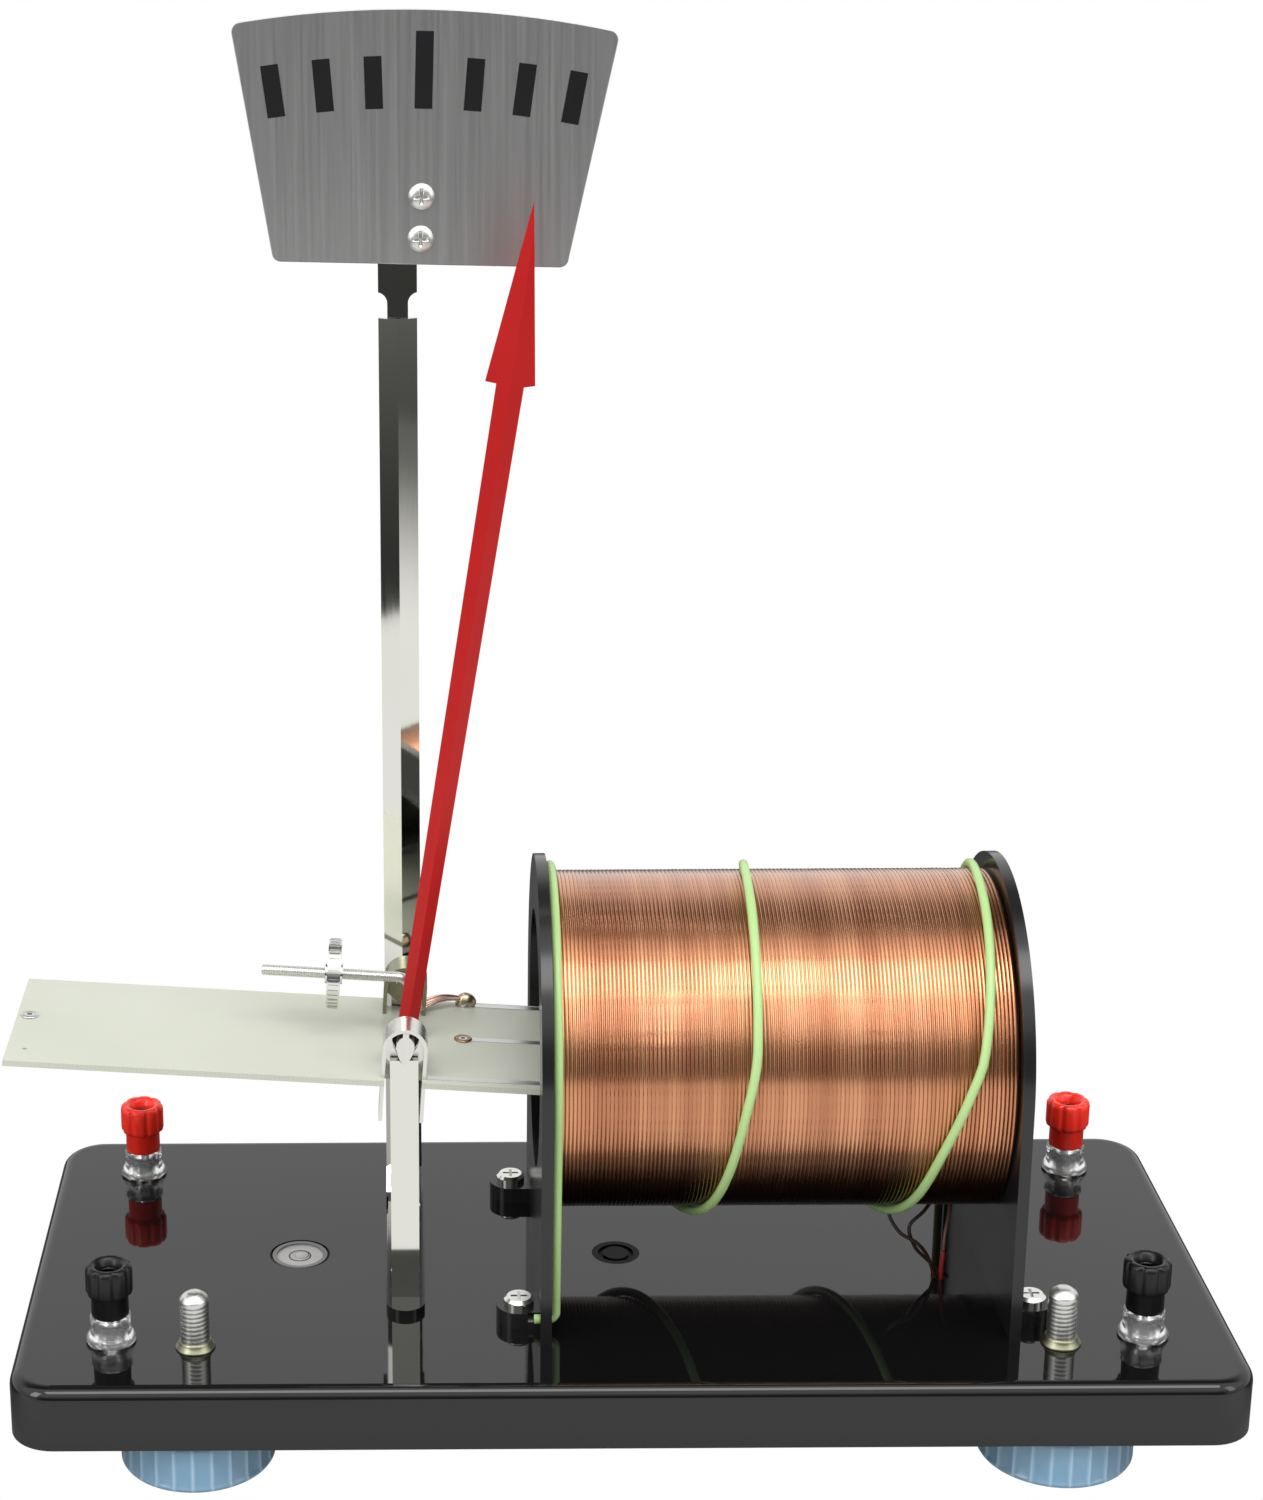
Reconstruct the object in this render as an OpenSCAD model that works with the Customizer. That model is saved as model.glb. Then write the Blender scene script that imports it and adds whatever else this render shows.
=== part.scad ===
// Current balance: a conductor on a knife-edge beam hangs inside a solenoid, and a pointer
// shows how far the force on it has turned the beam. Millimetres, +Z up, the camera looks
// along +Y, the origin is on the table under the middle of the whole instrument.

/* [Base] */
// Width of the base
base_w = 322; // [300:1:360]
// Depth of the base
base_d = 145; // [138:1:170]
// Height of the moulding
base_h = 17.2; // [15:0.2:24]
// Thickness of the moulding's walls and top
base_wall = 3; // [2.4:0.1:4]
// Radius of the upright corners
base_corner = 12; // [8:0.5:18]
// Radius of the edge round the top
base_edge = 3.5; // [2:0.1:4.5]

/* [Levelling] */
// Height of the moulding above the table
foot_h = 14.3; // [13:0.1:22]
// Diameter of the levelling knobs
knob_d = 41; // [32:0.5:44]
// Number of ribs round a knob
knob_ribs = 26; // [18:1:36]
// Distance of the levelling screws from the ends of the base
foot_in = 47.5; // [42:0.5:60]
// Distance of the levelling screws from the front of the base
foot_front = 22.5; // [21:0.5:26]
// Diameter of the levelling studs
stud_d = 7.8; // [6:0.1:10]
// Height of the stud ends above the base
stud_up = 16; // [12:0.5:24]
// Diameter of the bull's-eye level
level_d = 15.3; // [12:0.1:18]
// Distance of the level to the left of the knife edges
level_gap = 29.6; // [26:0.1:34]

/* [Terminals] */
// Distance of the terminals from the ends of the base
term_in = 25; // [20:0.5:28]
// Distance of the black terminals from the front of the base
term_front = 26.5; // [22:0.5:30]
// Distance of the red terminals from the back of the base
term_rear = 21.5; // [18:0.5:26]
// Diameter of the caps
cap_d = 12.4; // [11.5:0.1:14]
// Height of the clear collars
collar_h = 7.4; // [6:0.1:10]
// Height of the caps
cap_h = 14.4; // [13:0.1:20]
// Diameter of the plug sockets in the stems
socket_d = 4.04; // [4:0.01:4.2]

/* [Solenoid] */
// Length of the winding
coil_len = 120; // [100:1:130]
// Outer radius of the winding
coil_r = 45.5; // [43:0.5:47]
// Inner radius of the former
bore_r = 35; // [33.5:0.5:36]
// Radius of the cheeks
cheek_r = 50; // [48:0.5:54]
// Thickness of the cheeks
cheek_t = 3; // [2.4:0.1:4]
// Distance of the middle of the solenoid from the right end of the base
coil_in = 121; // [118:0.5:126]
// Loops drawn for the outer layer, which has about 112 turns
coil_loops = 24; // [12:1:24]
// Diameter of the green wire
green_d = 2.5; // [1.5:0.1:2.6]

/* [Supports] */
// Distance of the knife edges from the solenoid's winding
pivot_gap = 38.4; // [34:0.2:44]
// Height of the knife edges above the base
pivot_h = 68.5; // [66:0.5:76]
// Width of the two support strips
arm_w = 7.5; // [6:0.1:8]
// Width of the scale post
post_w = 10.3; // [8:0.1:11]
// Distance of the scale post's middle to the left of the knife edges
post_off = 0.7; // [0:0.1:2]
// Thickness of the insulating bar
bar_t = 2; // [1:0.1:3]
// Thickness of the bent strips
strip_t = 1.5; // [1.2:0.1:1.8]
// Distance of the scale plate's front behind the middle line
plate_y = 35; // [33:0.5:38]
// Thickness of the scale plate
plate_t = 1; // [0.8:0.1:1.5]
// Outer radius of the scale, measured from the knife edges
scale_r = 268; // [250:1:280]
// Angle between two marks
mark_step = 3; // [2.5:0.1:3.2]
// Angle by which the scale's middle leans to the right
scale_lean = 1.5; // [0:0.1:3]

/* [Beam] */
// Length of each arm of the board
beam_arm = 105.5; // [98:0.5:110]
// Width of the board
board_w = 55; // [52:0.5:56]
// Thickness of the board
board_t = 1.6; // [1.2:0.1:2]
// Distance of the board's top below the knife edges
board_drop = 3.5; // [3:0.1:4]
// Tilt at rest, with the conductor's end down
rest_tilt = 3.73; // [3:0.01:5]
// Gap between the inner faces of an arch's legs
arch_gap = 9.9; // [9.4:0.1:12]
// Thickness of the arches
arch_t = 1; // [0.8:0.1:1.2]
// Depth of an arch from front to back
arch_depth = 9; // [8:0.1:10]
// Lean of the pointer from the board's upright
pointer_lean = 5.03; // [3:0.01:6]
// Length of the pointer up to its head
pointer_len = 182.6; // [170:0.2:190]
// Height of the balance rod above the knife edges
rod_up = 13.7; // [12:0.1:15]
// Diameter of the balance rod
rod_d = 3; // [2.5:0.1:3.5]
// Diameter of the balance nut
nut_d = 19; // [15:0.5:20]
// Thickness of the balance nut
nut_t = 3.5; // [3:0.1:5]

/* [Hidden] */
$fn = 64;
run_fit = 0.05;
seat_fit = 0.02;
stop_gap = 0.15;
loose_gap = 0.3;
base_top = foot_h + base_h;
base_under = base_top - base_wall;
foot_y = -base_d / 2 + foot_front;
foot_x = base_w / 2 - foot_in;
knob_top = foot_h - 2;
stud_low = 3;
stud_r = stud_d / 2;
bush_r = stud_r + 1.2;
boss_low = foot_h + 2;
rear_foot_y = base_d / 2 - 17;
rear_foot_r = 10;
coil_x = base_w / 2 - coil_in;
coil_left = coil_x - coil_len / 2;
coil_right = coil_x + coil_len / 2;
pivot_x = coil_left - pivot_gap;
pivot_z = base_top + pivot_h;
level_x = pivot_x - level_gap;
beam_low = board_drop + board_t;
left_reach = -pivot_x + beam_arm * cos(rest_tilt) + beam_low * sin(rest_tilt);
shift_x = max(0, left_reach - base_w / 2) / 2;

term_x = base_w / 2 - term_in;
black_y = term_front - base_d / 2;
red_y = base_d / 2 - term_rear;
terminals = [[-term_x, black_y], [-term_x, red_y], [term_x, black_y], [term_x, red_y]];
stem_r = socket_d / 2 + 0.98;
collar_r = cap_d / 2 + 0.45;
insert_r = stem_r + 1.05;
cap_z = base_top + collar_h + loose_gap;
stem_top = cap_z + cap_h - 3.5;
insert_h = 6;
term_nut_h = 2.6;
tag_t = 0.6;
tag_len = 11;

coil_z = pivot_z - 3;
former_r = bore_r + 2;
rings_per_loop = 24;
wind_r = 2.1;
wind_path_r = coil_r - wind_r;
core_r = wind_path_r * cos(180 / rings_per_loop) - wind_r - 0.15;
wind_margin = wind_r + 0.3;
wind_pitch = (coil_len - 2 * wind_margin) / coil_loops;
lug_y = base_d / 2 - 36.5;
lug_r = 6;
lug_out = 5.2;
lug_t = 4.5;
screw_r = 2;
screw_hole_r = 2.2;
m4_af = 7;
m4_nut_h = 3.2;
pan_r = 4;
pan_h = 2.2;
green_r = green_d / 2;
green_path_r = (coil_r + green_r + 0.1) / cos(180 / rings_per_loop);
green_left = coil_left + green_r + 0.1;
green_right = coil_right - green_r - 0.1;
green_leave = 99.5;
green_foot_y = -42.4;
green_foot_z = base_top + green_r + 2;
lead_hole = [coil_right - 12, -14];

arm_t = 2;
arch_y = board_w / 2 - 2;
arm_y = arch_y - 0.5;
arm_lean = 3;
knife_h = arch_gap / 2 + 4.55;
knife_w = 4.9;
notch_deep = 1.5;
leg_drop = (arch_gap / 2 * cos(rest_tilt) - arm_w / 2 - stop_gap) / sin(rest_tilt);
foot_len = 16;
bar_w = arm_w + 2.9;
bar_end = board_w / 2 + 8;
post_x = pivot_x - post_off;
post_y = plate_y + 12;
tab_y = plate_y + plate_t;
neck_z = pivot_z + scale_r - 80;
notch_r = 3;
notch_in = 2.4;
tab_top = pivot_z + scale_r - 32;
pad_w = post_w / 2 + post_off + (scale_r - 47.8) * sin(scale_lean) + 5;
fold = 2.2;
screw_y = arm_y + arm_lean - arm_t - 7;
bar_seat = base_top + bar_t;
post_lean = atan((post_y - tab_y) / (neck_z - bar_seat));
// Middle and strip thickness of each screw that holds a strip and the bar
bar_screws = [[pivot_x, -screw_y, arm_t], [pivot_x, screw_y, arm_t],
              [post_x, post_y - 9, strip_t]];
support_r = 2;
mark_w = 4.6;
mark_low = scale_r - 25.2;
mark_high = scale_r - 11.8;
mark_high_mid = scale_r - 5.5;
plate_half = 3.6 * mark_step;
plate_low_r = scale_r - 62;
scale_screws_r = [scale_r - 47.8, scale_r - 58.8];
scale_screw_r = 1.5;

notch_y = board_w / 2 - arm_y + arm_t + 0.6;
track_t = 0.15;
track_w = 2.2;
rod_r = rod_d / 2;
rod_end = -39.6;
rod_bend = 4;
rod_foot = 1.2;
rod_y = 2.4;
nut_x = -20;
bush_nut_r = rod_r + 1.3;
pointer_y = -1.6;
pointer_root = 0.4;
head_len = 47;
head_w = 12.8;
stem_low_w = 5.3;
stem_high_w = 7.1;
sheet_t = 0.6;

function unit(v) = v / norm(v);
function along(p, i) = unit(p[min(i + 1, len(p) - 1)] - p[max(i - 1, 0)]);
function carry(u, t) = unit(u - (u * t) * t);
function frames(p, u, i = 0) = i >= len(p) ? []
    : let (w = carry(u, along(p, i))) concat([w], frames(p, w, i + 1));

// A round wire through the points p, with its first ring's corner towards u
module tube(p, r, u, sides = 6) {
    f = frames(p, u);
    last = (len(p) - 1) * sides;
    polyhedron(
        [for (i = [0 : len(p) - 1]) let (v = cross(along(p, i), f[i]))
            for (k = [0 : sides - 1])
                p[i] + r * (cos(360 * k / sides) * f[i] + sin(360 * k / sides) * v)],
        concat(
            [for (i = [0 : len(p) - 2]) for (k = [0 : sides - 1])
                let (a = i * sides + k, b = i * sides + (k + 1) % sides)
                    for (t = [[a, a + sides, b + sides], [a, b + sides, b]]) t],
            [for (k = [1 : sides - 2]) [0, k, k + 1]],
            [for (k = [1 : sides - 2]) [last, last + k + 1, last + k]]),
        convexity = 10);
}

// Least distance between the surfaces of two neighbouring turns
function self_gap(p, r) = min([for (i = [0 : len(p) - 1])
    for (j = [i + rings_per_loop / 2 : min(len(p) - 1, i + 3 * rings_per_loop / 2)])
        norm(p[i] - p[j])]) - 2 * r;

// A quarter-round bend in the plane of unit vectors a (going in) and b (coming out)
function bend(c, r, a, b, n = 5) = [for (i = [0 : n]) let (w = 90 * i / n)
    c + r * (a * sin(w) - b * cos(w))];

module ring(r_out, r_in, h) difference() {
    cylinder(r = r_out, h = h);
    translate([0, 0, -1]) cylinder(r = r_in, h = h + 2);
}
module hex_nut(af, bore, h) difference() {
    linear_extrude(h) circle(d = af / cos(30), $fn = 6);
    translate([0, 0, -1]) cylinder(r = bore, h = h + 2);
}
module round_plate(w, d, h, r) linear_extrude(h) union() {
    square([w - 2 * r, d], center = true);
    square([w, d - 2 * r], center = true);
    for (x = [-1, 1], y = [-1, 1]) translate([x * (w / 2 - r), y * (d / 2 - r)]) circle(r);
}
// A pan head screw, head up, its seat at z = 0, with a cross recess
module pan_screw(r, length, head_r = pan_r, head_h = pan_h) difference() {
    union() {
        cylinder(r = head_r, h = head_h - 0.8);
        translate([0, 0, head_h - 0.8]) cylinder(r1 = head_r, r2 = head_r - 0.8, h = 0.8);
        translate([0, 0, -length]) cylinder(r = r, h = length + 0.1);
    }
    for (a = [0, 90]) rotate([0, 0, a]) translate([-head_r * 0.55, -0.4, head_h - 1.2])
        cube([head_r * 1.1, 0.8, 2]);
}
module at_terminals() for (t = terminals) translate([t[0], t[1], 0]) children();
module at_lugs() for (s = [-1, 1], y = [-lug_y, lug_y])
    translate([coil_x + s * (coil_len / 2 + cheek_t + lug_out), y, base_top]) children();
module on_beam() translate([pivot_x, 0, pivot_z]) rotate([0, rest_tilt, 0]) children();
module on_scale(r, a = 0) translate([pivot_x, plate_y, pivot_z]) rotate([0, scale_lean + a, 0])
    translate([0, 0, r]) children();

module base_shell() color("#1b1b1c") difference() {
    union() {
        difference() {
            union() {
                translate([0, 0, foot_h])
                    round_plate(base_w, base_d, base_h - base_edge, base_corner);
                translate([0, 0, base_top - base_edge])
                    round_plate(base_w - 2 * base_edge, base_d - 2 * base_edge, base_edge,
                                base_corner - base_edge);
                for (y = [-1, 1]) translate([-base_w / 2 + base_corner,
                        y * (base_d / 2 - base_edge), base_top - base_edge])
                    rotate([0, 90, 0]) cylinder(r = base_edge, h = base_w - 2 * base_corner);
                for (x = [-1, 1]) translate([x * (base_w / 2 - base_edge),
                        -base_d / 2 + base_corner, base_top - base_edge])
                    rotate([-90, 0, 0]) cylinder(r = base_edge, h = base_d - 2 * base_corner);
                for (x = [-1, 1], y = [-1, 1]) translate([x * (base_w / 2 - base_corner),
                        y * (base_d / 2 - base_corner), base_top - base_edge])
                    rotate_extrude() translate([base_corner - base_edge, 0])
                        intersection() {
                            circle(base_edge);
                            translate([0, -base_edge]) square([base_edge, 2 * base_edge]);
                        }
            }
            translate([0, 0, foot_h - 1])
                round_plate(base_w - 2 * base_wall, base_d - 2 * base_wall,
                            base_h - base_wall + 1, base_corner - base_wall);
        }
        for (s = [-1, 1]) translate([s * foot_x, foot_y, boss_low])
            cylinder(r = bush_r + 3, h = base_top - boss_low - 1);
        translate([0, rear_foot_y, boss_low]) cylinder(r = 8, h = base_top - boss_low - 1);
        translate([level_x, 0, base_top - 10])
            cylinder(r = level_d / 2 + 2.6, h = 9);
        translate([0, 0, base_top - 6]) cylinder(r = 8.6, h = 5);
    }
    for (s = [-1, 1]) translate([s * foot_x, foot_y, boss_low - 1])
        cylinder(r = bush_r + seat_fit, h = base_h + 2);
    translate([0, rear_foot_y, boss_low - 1]) cylinder(r = 1.6, h = 10);
    translate([level_x, 0, base_top - 8.5])
        cylinder(r = level_d / 2 + seat_fit, h = 7.1);
    translate([level_x, 0, base_top - 1.5])
        cylinder(r = level_d / 2 + 0.7, h = 2);
    translate([0, 0, base_top - 4]) cylinder(r = 5.2, h = 5);
    translate([0, 0, base_top - 1.2]) cylinder(r = 6.6, h = 2);
    at_terminals() translate([0, 0, base_under - 1])
        cylinder(r = stem_r + seat_fit, h = base_wall + 2);
    at_lugs() translate([0, 0, -base_wall - 1]) cylinder(r = screw_hole_r, h = base_wall + 2);
    for (c = bar_screws) translate([c[0], c[1], base_under - 1])
        cylinder(r = screw_hole_r, h = base_wall + 2);
    translate([lead_hole[0], lead_hole[1], base_under - 1])
        cylinder(r = 2.4, h = base_wall + 2);
    translate([green_right, green_path_r, base_under - 1])
        cylinder(r = green_r + 0.15, h = base_wall + 2);
}

module level_case() color("#c9cac6") translate([level_x, 0, base_top - 8.5])
    difference() {
        cylinder(r = level_d / 2, h = 8.5);
        translate([0, 0, 2]) cylinder(r = level_d / 2 - 1.2, h = 8);
    }
module level_glass() color("#d8e6d2", 0.6)
    translate([level_x, 0, base_top - 6.5])
        cylinder(r = level_d / 2 - 1.2 - seat_fit, h = 6);
module blanking_plug() color("#2a2a2b") translate([0, 0, base_top - 4]) difference() {
    union() {
        cylinder(r = 5.15, h = 4);
        translate([0, 0, 2.8]) cylinder(r = 6.5, h = 1.2);
    }
    translate([0, 0, 3.4]) ring(4.9, 3.6, 2);
}

module levelling_bushes() color("#c8c8c4") for (s = [-1, 1])
    translate([s * foot_x, foot_y, boss_low]) difference() {
        union() {
            cylinder(r = bush_r, h = base_top - boss_low);
            translate([0, 0, base_top - boss_low])
                cylinder(r1 = bush_r, r2 = bush_r - 0.7, h = 3.2);
        }
        translate([0, 0, -1]) cylinder(r = stud_r + run_fit, h = base_h + 6);
    }
module stud(s) color("#c4c4c0") translate([s * foot_x, foot_y, stud_low]) union() {
    cylinder(r = stud_r, h = base_top + stud_up - stud_low - 1);
    translate([0, 0, base_top + stud_up - stud_low - 1])
        cylinder(r1 = stud_r, r2 = stud_r - 1, h = 1);
}
module knob(s) color("#9dc0dc") translate([s * foot_x, foot_y, 0]) difference() {
    union() {
        translate([0, 0, 1.5]) cylinder(r = knob_d / 2 - 0.8, h = knob_top - 3);
        cylinder(r1 = knob_d / 2 - 2.3, r2 = knob_d / 2 - 0.8, h = 1.5);
        translate([0, 0, knob_top - 1.5])
            cylinder(r1 = knob_d / 2 - 0.8, r2 = knob_d / 2 - 2.3, h = 1.5);
        for (i = [0 : knob_ribs - 1]) rotate([0, 0, 360 * i / knob_ribs - 90])
            translate([knob_d / 2 - 1.6, -1.1, 1.2]) cube([1.6, 2.2, knob_top - 2.4]);
    }
    translate([0, 0, stud_low - loose_gap])
        cylinder(r = stud_r + run_fit, h = knob_top);
}
module rear_foot() color("#2b2b2c") translate([0, rear_foot_y, 0]) difference() {
    union() {
        cylinder(r1 = rear_foot_r - 1, r2 = rear_foot_r, h = 4);
        translate([0, 0, 4]) cylinder(r = rear_foot_r, h = boss_low - 4);
    }
    translate([0, 0, -1]) cylinder(r = 4.2, h = 9);
    cylinder(r = 2.2, h = boss_low + 1);
}
module rear_foot_screw() color("#8f8f8c") translate([0, rear_foot_y, 8]) mirror([0, 0, 1])
    pan_screw(1.55, boss_low, 3.2, 2.2);

module terminal_collars() color("#e6e8ea", 0.55) at_terminals() translate([0, 0, base_top])
    difference() {
        union() {
            cylinder(r = collar_r, h = 1.6);
            translate([0, 0, 1.6]) cylinder(r1 = collar_r, r2 = collar_r - 0.6, h = 0.6);
            translate([0, 0, 2.2]) cylinder(r = collar_r - 0.85, h = collar_h - 2.2);
        }
        translate([0, 0, -1]) cylinder(r = stem_r + seat_fit, h = collar_h + 2);
    }
module terminal_stems() color("#c9c7bd") at_terminals() difference() {
    translate([0, 0, base_under - term_nut_h - tag_t - 5])
        cylinder(r = stem_r, h = stem_top - base_under + term_nut_h + tag_t + 5);
    translate([0, 0, stem_top - 16]) cylinder(r = socket_d / 2, h = 17);
}
module terminal_tags() color("#d9d4c4") for (t = terminals)
    translate([t[0], t[1], base_under - tag_t]) mirror([0, t[1] > 0 ? 1 : 0, 0]) difference() {
        union() {
            cylinder(r = stem_r + 2, h = tag_t);
            translate([-1.6, 0, 0]) cube([3.2, tag_len, tag_t]);
        }
        translate([0, 0, -1]) cylinder(r = stem_r + seat_fit, h = tag_t + 2);
    }
module terminal_nuts() color("#d2c08a") at_terminals()
    translate([0, 0, base_under - tag_t - term_nut_h])
        hex_nut(2 * stem_r + 4, stem_r + seat_fit, term_nut_h);
module insert(i) color("#c9b67c") translate([terminals[i][0], terminals[i][1], cap_z])
    ring(insert_r, stem_r + run_fit, insert_h);
module cap(i) color(i % 2 == 0 ? "#222224" : "#d8241c")
    translate([terminals[i][0], terminals[i][1], cap_z]) difference() {
        union() {
            cylinder(r = cap_d / 2 - 1.3, h = insert_h);
            translate([0, 0, insert_h]) cylinder(r = cap_d / 2 - 0.5, h = cap_h - insert_h - 0.7);
            translate([0, 0, cap_h - 0.7])
                cylinder(r1 = cap_d / 2 - 0.5, r2 = cap_d / 2 - 1.2, h = 0.7);
            for (k = [0 : 11]) rotate([0, 0, 30 * k + 15])
                translate([cap_d / 2 - 1, -0.65, insert_h + 0.2])
                    cube([1, 1.3, cap_h - insert_h - 1.1]);
        }
        translate([0, 0, -1]) cylinder(r = insert_r + run_fit, h = insert_h + 1.2);
        translate([0, 0, insert_h]) cylinder(r = stem_r + loose_gap, h = cap_h - insert_h - 2.8);
        cylinder(r = socket_d / 2 + 0.5, h = cap_h + 1);
    }

// One cheek of the solenoid, with its outer face towards s, -1 for left
module cheek(s) color("#1d1d1e") difference() {
    union() {
        translate([s < 0 ? coil_left - cheek_t : coil_right, 0, coil_z]) rotate([90, 0, 90])
            linear_extrude(cheek_t) union() {
                circle(cheek_r);
                translate([-cheek_r, base_top - coil_z])
                    square([2 * cheek_r, coil_z - base_top]);
            }
        for (y = [-lug_y, lug_y]) translate([coil_x + s * (coil_len / 2 + cheek_t), y, base_top])
            linear_extrude(lug_t) union() {
                translate([s * lug_out, 0]) circle(lug_r);
                translate([s < 0 ? -lug_out : -1, -lug_r]) square([lug_out + 1, 2 * lug_r]);
            }
    }
    translate([coil_x + s * (coil_len / 2 + cheek_t / 2), 0, coil_z]) rotate([0, 90, 0])
        cylinder(r = bore_r, h = cheek_t + 2, center = true);
    at_lugs() translate([0, 0, -1]) cylinder(r = screw_hole_r, h = lug_t + 2);
    if (s < 0) translate([coil_left - cheek_t - 3, green_foot_y, green_foot_z])
        rotate([0, 90, 0]) cylinder(r = green_r + 0.45, h = cheek_t + 4);
}
module coil_former() color("#232324") translate([coil_left, 0, coil_z]) rotate([0, 90, 0])
    ring(former_r, bore_r, coil_len);
module inner_winding() color("#a8633c") translate([coil_left + 0.2, 0, coil_z])
    rotate([0, 90, 0]) ring(core_r, former_r + seat_fit, coil_len - 0.4);

// Angles run from the bottom of the winding up the back, over the top and down the front
wind_points = let (x0 = coil_left + wind_margin, n = coil_loops * rings_per_loop)
    concat([[x0, -2 * wind_r, coil_z - wind_path_r]],
           [for (i = [0 : n]) let (a = 360 * i / rings_per_loop)
               [x0 + wind_pitch * i / rings_per_loop,
                wind_path_r * sin(a), coil_z - wind_path_r * cos(a)]],
           [[x0 + wind_pitch * coil_loops, 2 * wind_r, coil_z - wind_path_r]]);
module outer_winding() color("#b5714a") {
    tube(wind_points, wind_r, [0, 0, 1]);
    echo(str("outer winding, least gap between turns ", self_gap(wind_points, wind_r)));
}

// Where the green wire lies along the coil, by the angle wound back from its left foot
green_at = [[0, green_left], [150, green_left], [311, coil_left + 40.6],
            [366, coil_left + 49.3], [389, coil_left + 52.4], [460, coil_left + 53.3],
            [679, coil_right - 25.2], [710, coil_right - 19.5], [733, coil_right - 13.1],
            [746, coil_right - 9.5], [782, coil_right - 6.4], [820, coil_right - 4.9],
            [890, green_right], [940, green_right]];
green_total = 720 + 2 * green_leave;
green_points = concat(
    [[coil_left - cheek_t - 1.4, green_foot_y, green_foot_z],
     [coil_left - 0.9, green_foot_y, green_foot_z]],
    bend([coil_left - 0.8, green_foot_y, green_foot_z + 2.15], 2.15, [1, 0, 0], [0, 0, 1]),
    [for (a = [0 : 360 / rings_per_loop : green_total])
        [lookup(a, green_at), -green_path_r * sin(green_leave - a),
         coil_z + green_path_r * cos(green_leave - a)]],
    [[green_right, green_path_r, coil_z - 12], [green_right, green_path_r, base_top + 3],
     [green_right, green_path_r, base_under - 3]]);
module green_wire() color("#9ccb7c") {
    tube(green_points, green_r, [0, 1, 0]);
    echo(str("green wire, least gap between turns ", self_gap(green_points, green_r)));
}
lead_from = [wind_points[len(wind_points) - 1] - [0, 0, wind_r + 0.8],
             [coil_right - 1.4, -10, coil_z - coil_r - 0.8]];
module coil_leads() color("#8c4a2c") for (k = [0, 1]) let (p = lead_from[k],
        h = [lead_hole[0] - 1.1 + 2.2 * k, lead_hole[1], base_under - 4])
    tube([for (i = [0 : 10]) let (t = i / 10, w = min(1, t / 0.6), e = w * w * (3 - 2 * w))
            [p[0] + (h[0] - p[0]) * e, p[1] + (h[1] - p[1]) * e - 3 * sin(180 * w) * (1 - k),
             p[2] + (h[2] - p[2]) * t]], 0.55, [1, 0, 0]);
module cheek_screws() color("#cfcfca") at_lugs() translate([0, 0, lug_t])
    pan_screw(screw_r, lug_t + base_wall + m4_nut_h + 2);
module cheek_nuts() color("#c4c4be") at_lugs() translate([0, 0, -base_wall - m4_nut_h])
    hex_nut(m4_af, screw_r + seat_fit, m4_nut_h);

// A bent strip that carries one knife edge: s is -1 at the front, 1 at the back
module support(s) color("#d6d6cf") mirror([0, s < 0 ? 0 : 1, 0]) difference() {
    translate([pivot_x - arm_w / 2, 0, 0]) rotate([90, 0, 90]) linear_extrude(arm_w)
        polygon([[-arm_y - arm_lean, bar_seat], [-arm_y - arm_lean + foot_len, bar_seat],
                 [-arm_y - arm_lean + foot_len, bar_seat + arm_t],
                 [-arm_y - arm_lean + arm_t, bar_seat + arm_t],
                 [-arm_y + arm_t, pivot_z - 22], [-arm_y + arm_t, pivot_z + notch_deep],
                 [-arm_y, pivot_z + notch_deep], [-arm_y, pivot_z - 22]]);
    translate([pivot_x, -arm_y - 1, pivot_z - run_fit]) rotate([-90, 0, 0])
        linear_extrude(arm_t + 2) polygon([[0, 0], [-2.6, -3], [2.6, -3]]);
    translate([pivot_x, -screw_y, bar_seat - 1]) cylinder(r = support_r + 0.1, h = arm_t + 2);
}
module insulating_bar() color("#161617") difference() {
    translate([pivot_x, 0, base_top]) linear_extrude(bar_t) union() {
        translate([-bar_w / 2, -bar_end + bar_w / 2])
            square([bar_w, bar_end + post_y + bar_w / 2 - bar_w]);
        for (y = [-bar_end + bar_w / 2, post_y]) translate([0, y]) circle(bar_w / 2);
    }
    for (c = bar_screws) translate([c[0], c[1], base_top - 1])
        cylinder(r = support_r + 0.1, h = bar_t + 2);
}
module support_screws() color("#cfcfca") for (c = bar_screws)
    translate([c[0], c[1], bar_seat + c[2]])
        pan_screw(support_r, c[2] + bar_t + base_wall + tag_t + m4_nut_h + 1);
module support_tags() color("#d9d4c4") for (s = [-1, 1])
    translate([pivot_x, s * screw_y, base_under - tag_t]) difference() {
        union() {
            cylinder(r = 4, h = tag_t);
            translate([-tag_len, -1.6, 0]) cube([tag_len, 3.2, tag_t]);
        }
        translate([0, 0, -1]) cylinder(r = support_r + seat_fit, h = tag_t + 2);
    }
module support_nuts() color("#c4c4be") for (c = bar_screws)
    translate([c[0], c[1], base_under - m4_nut_h - (c[1] > screw_y ? 0 : tag_t)])
        hex_nut(m4_af, support_r + seat_fit, m4_nut_h);

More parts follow.
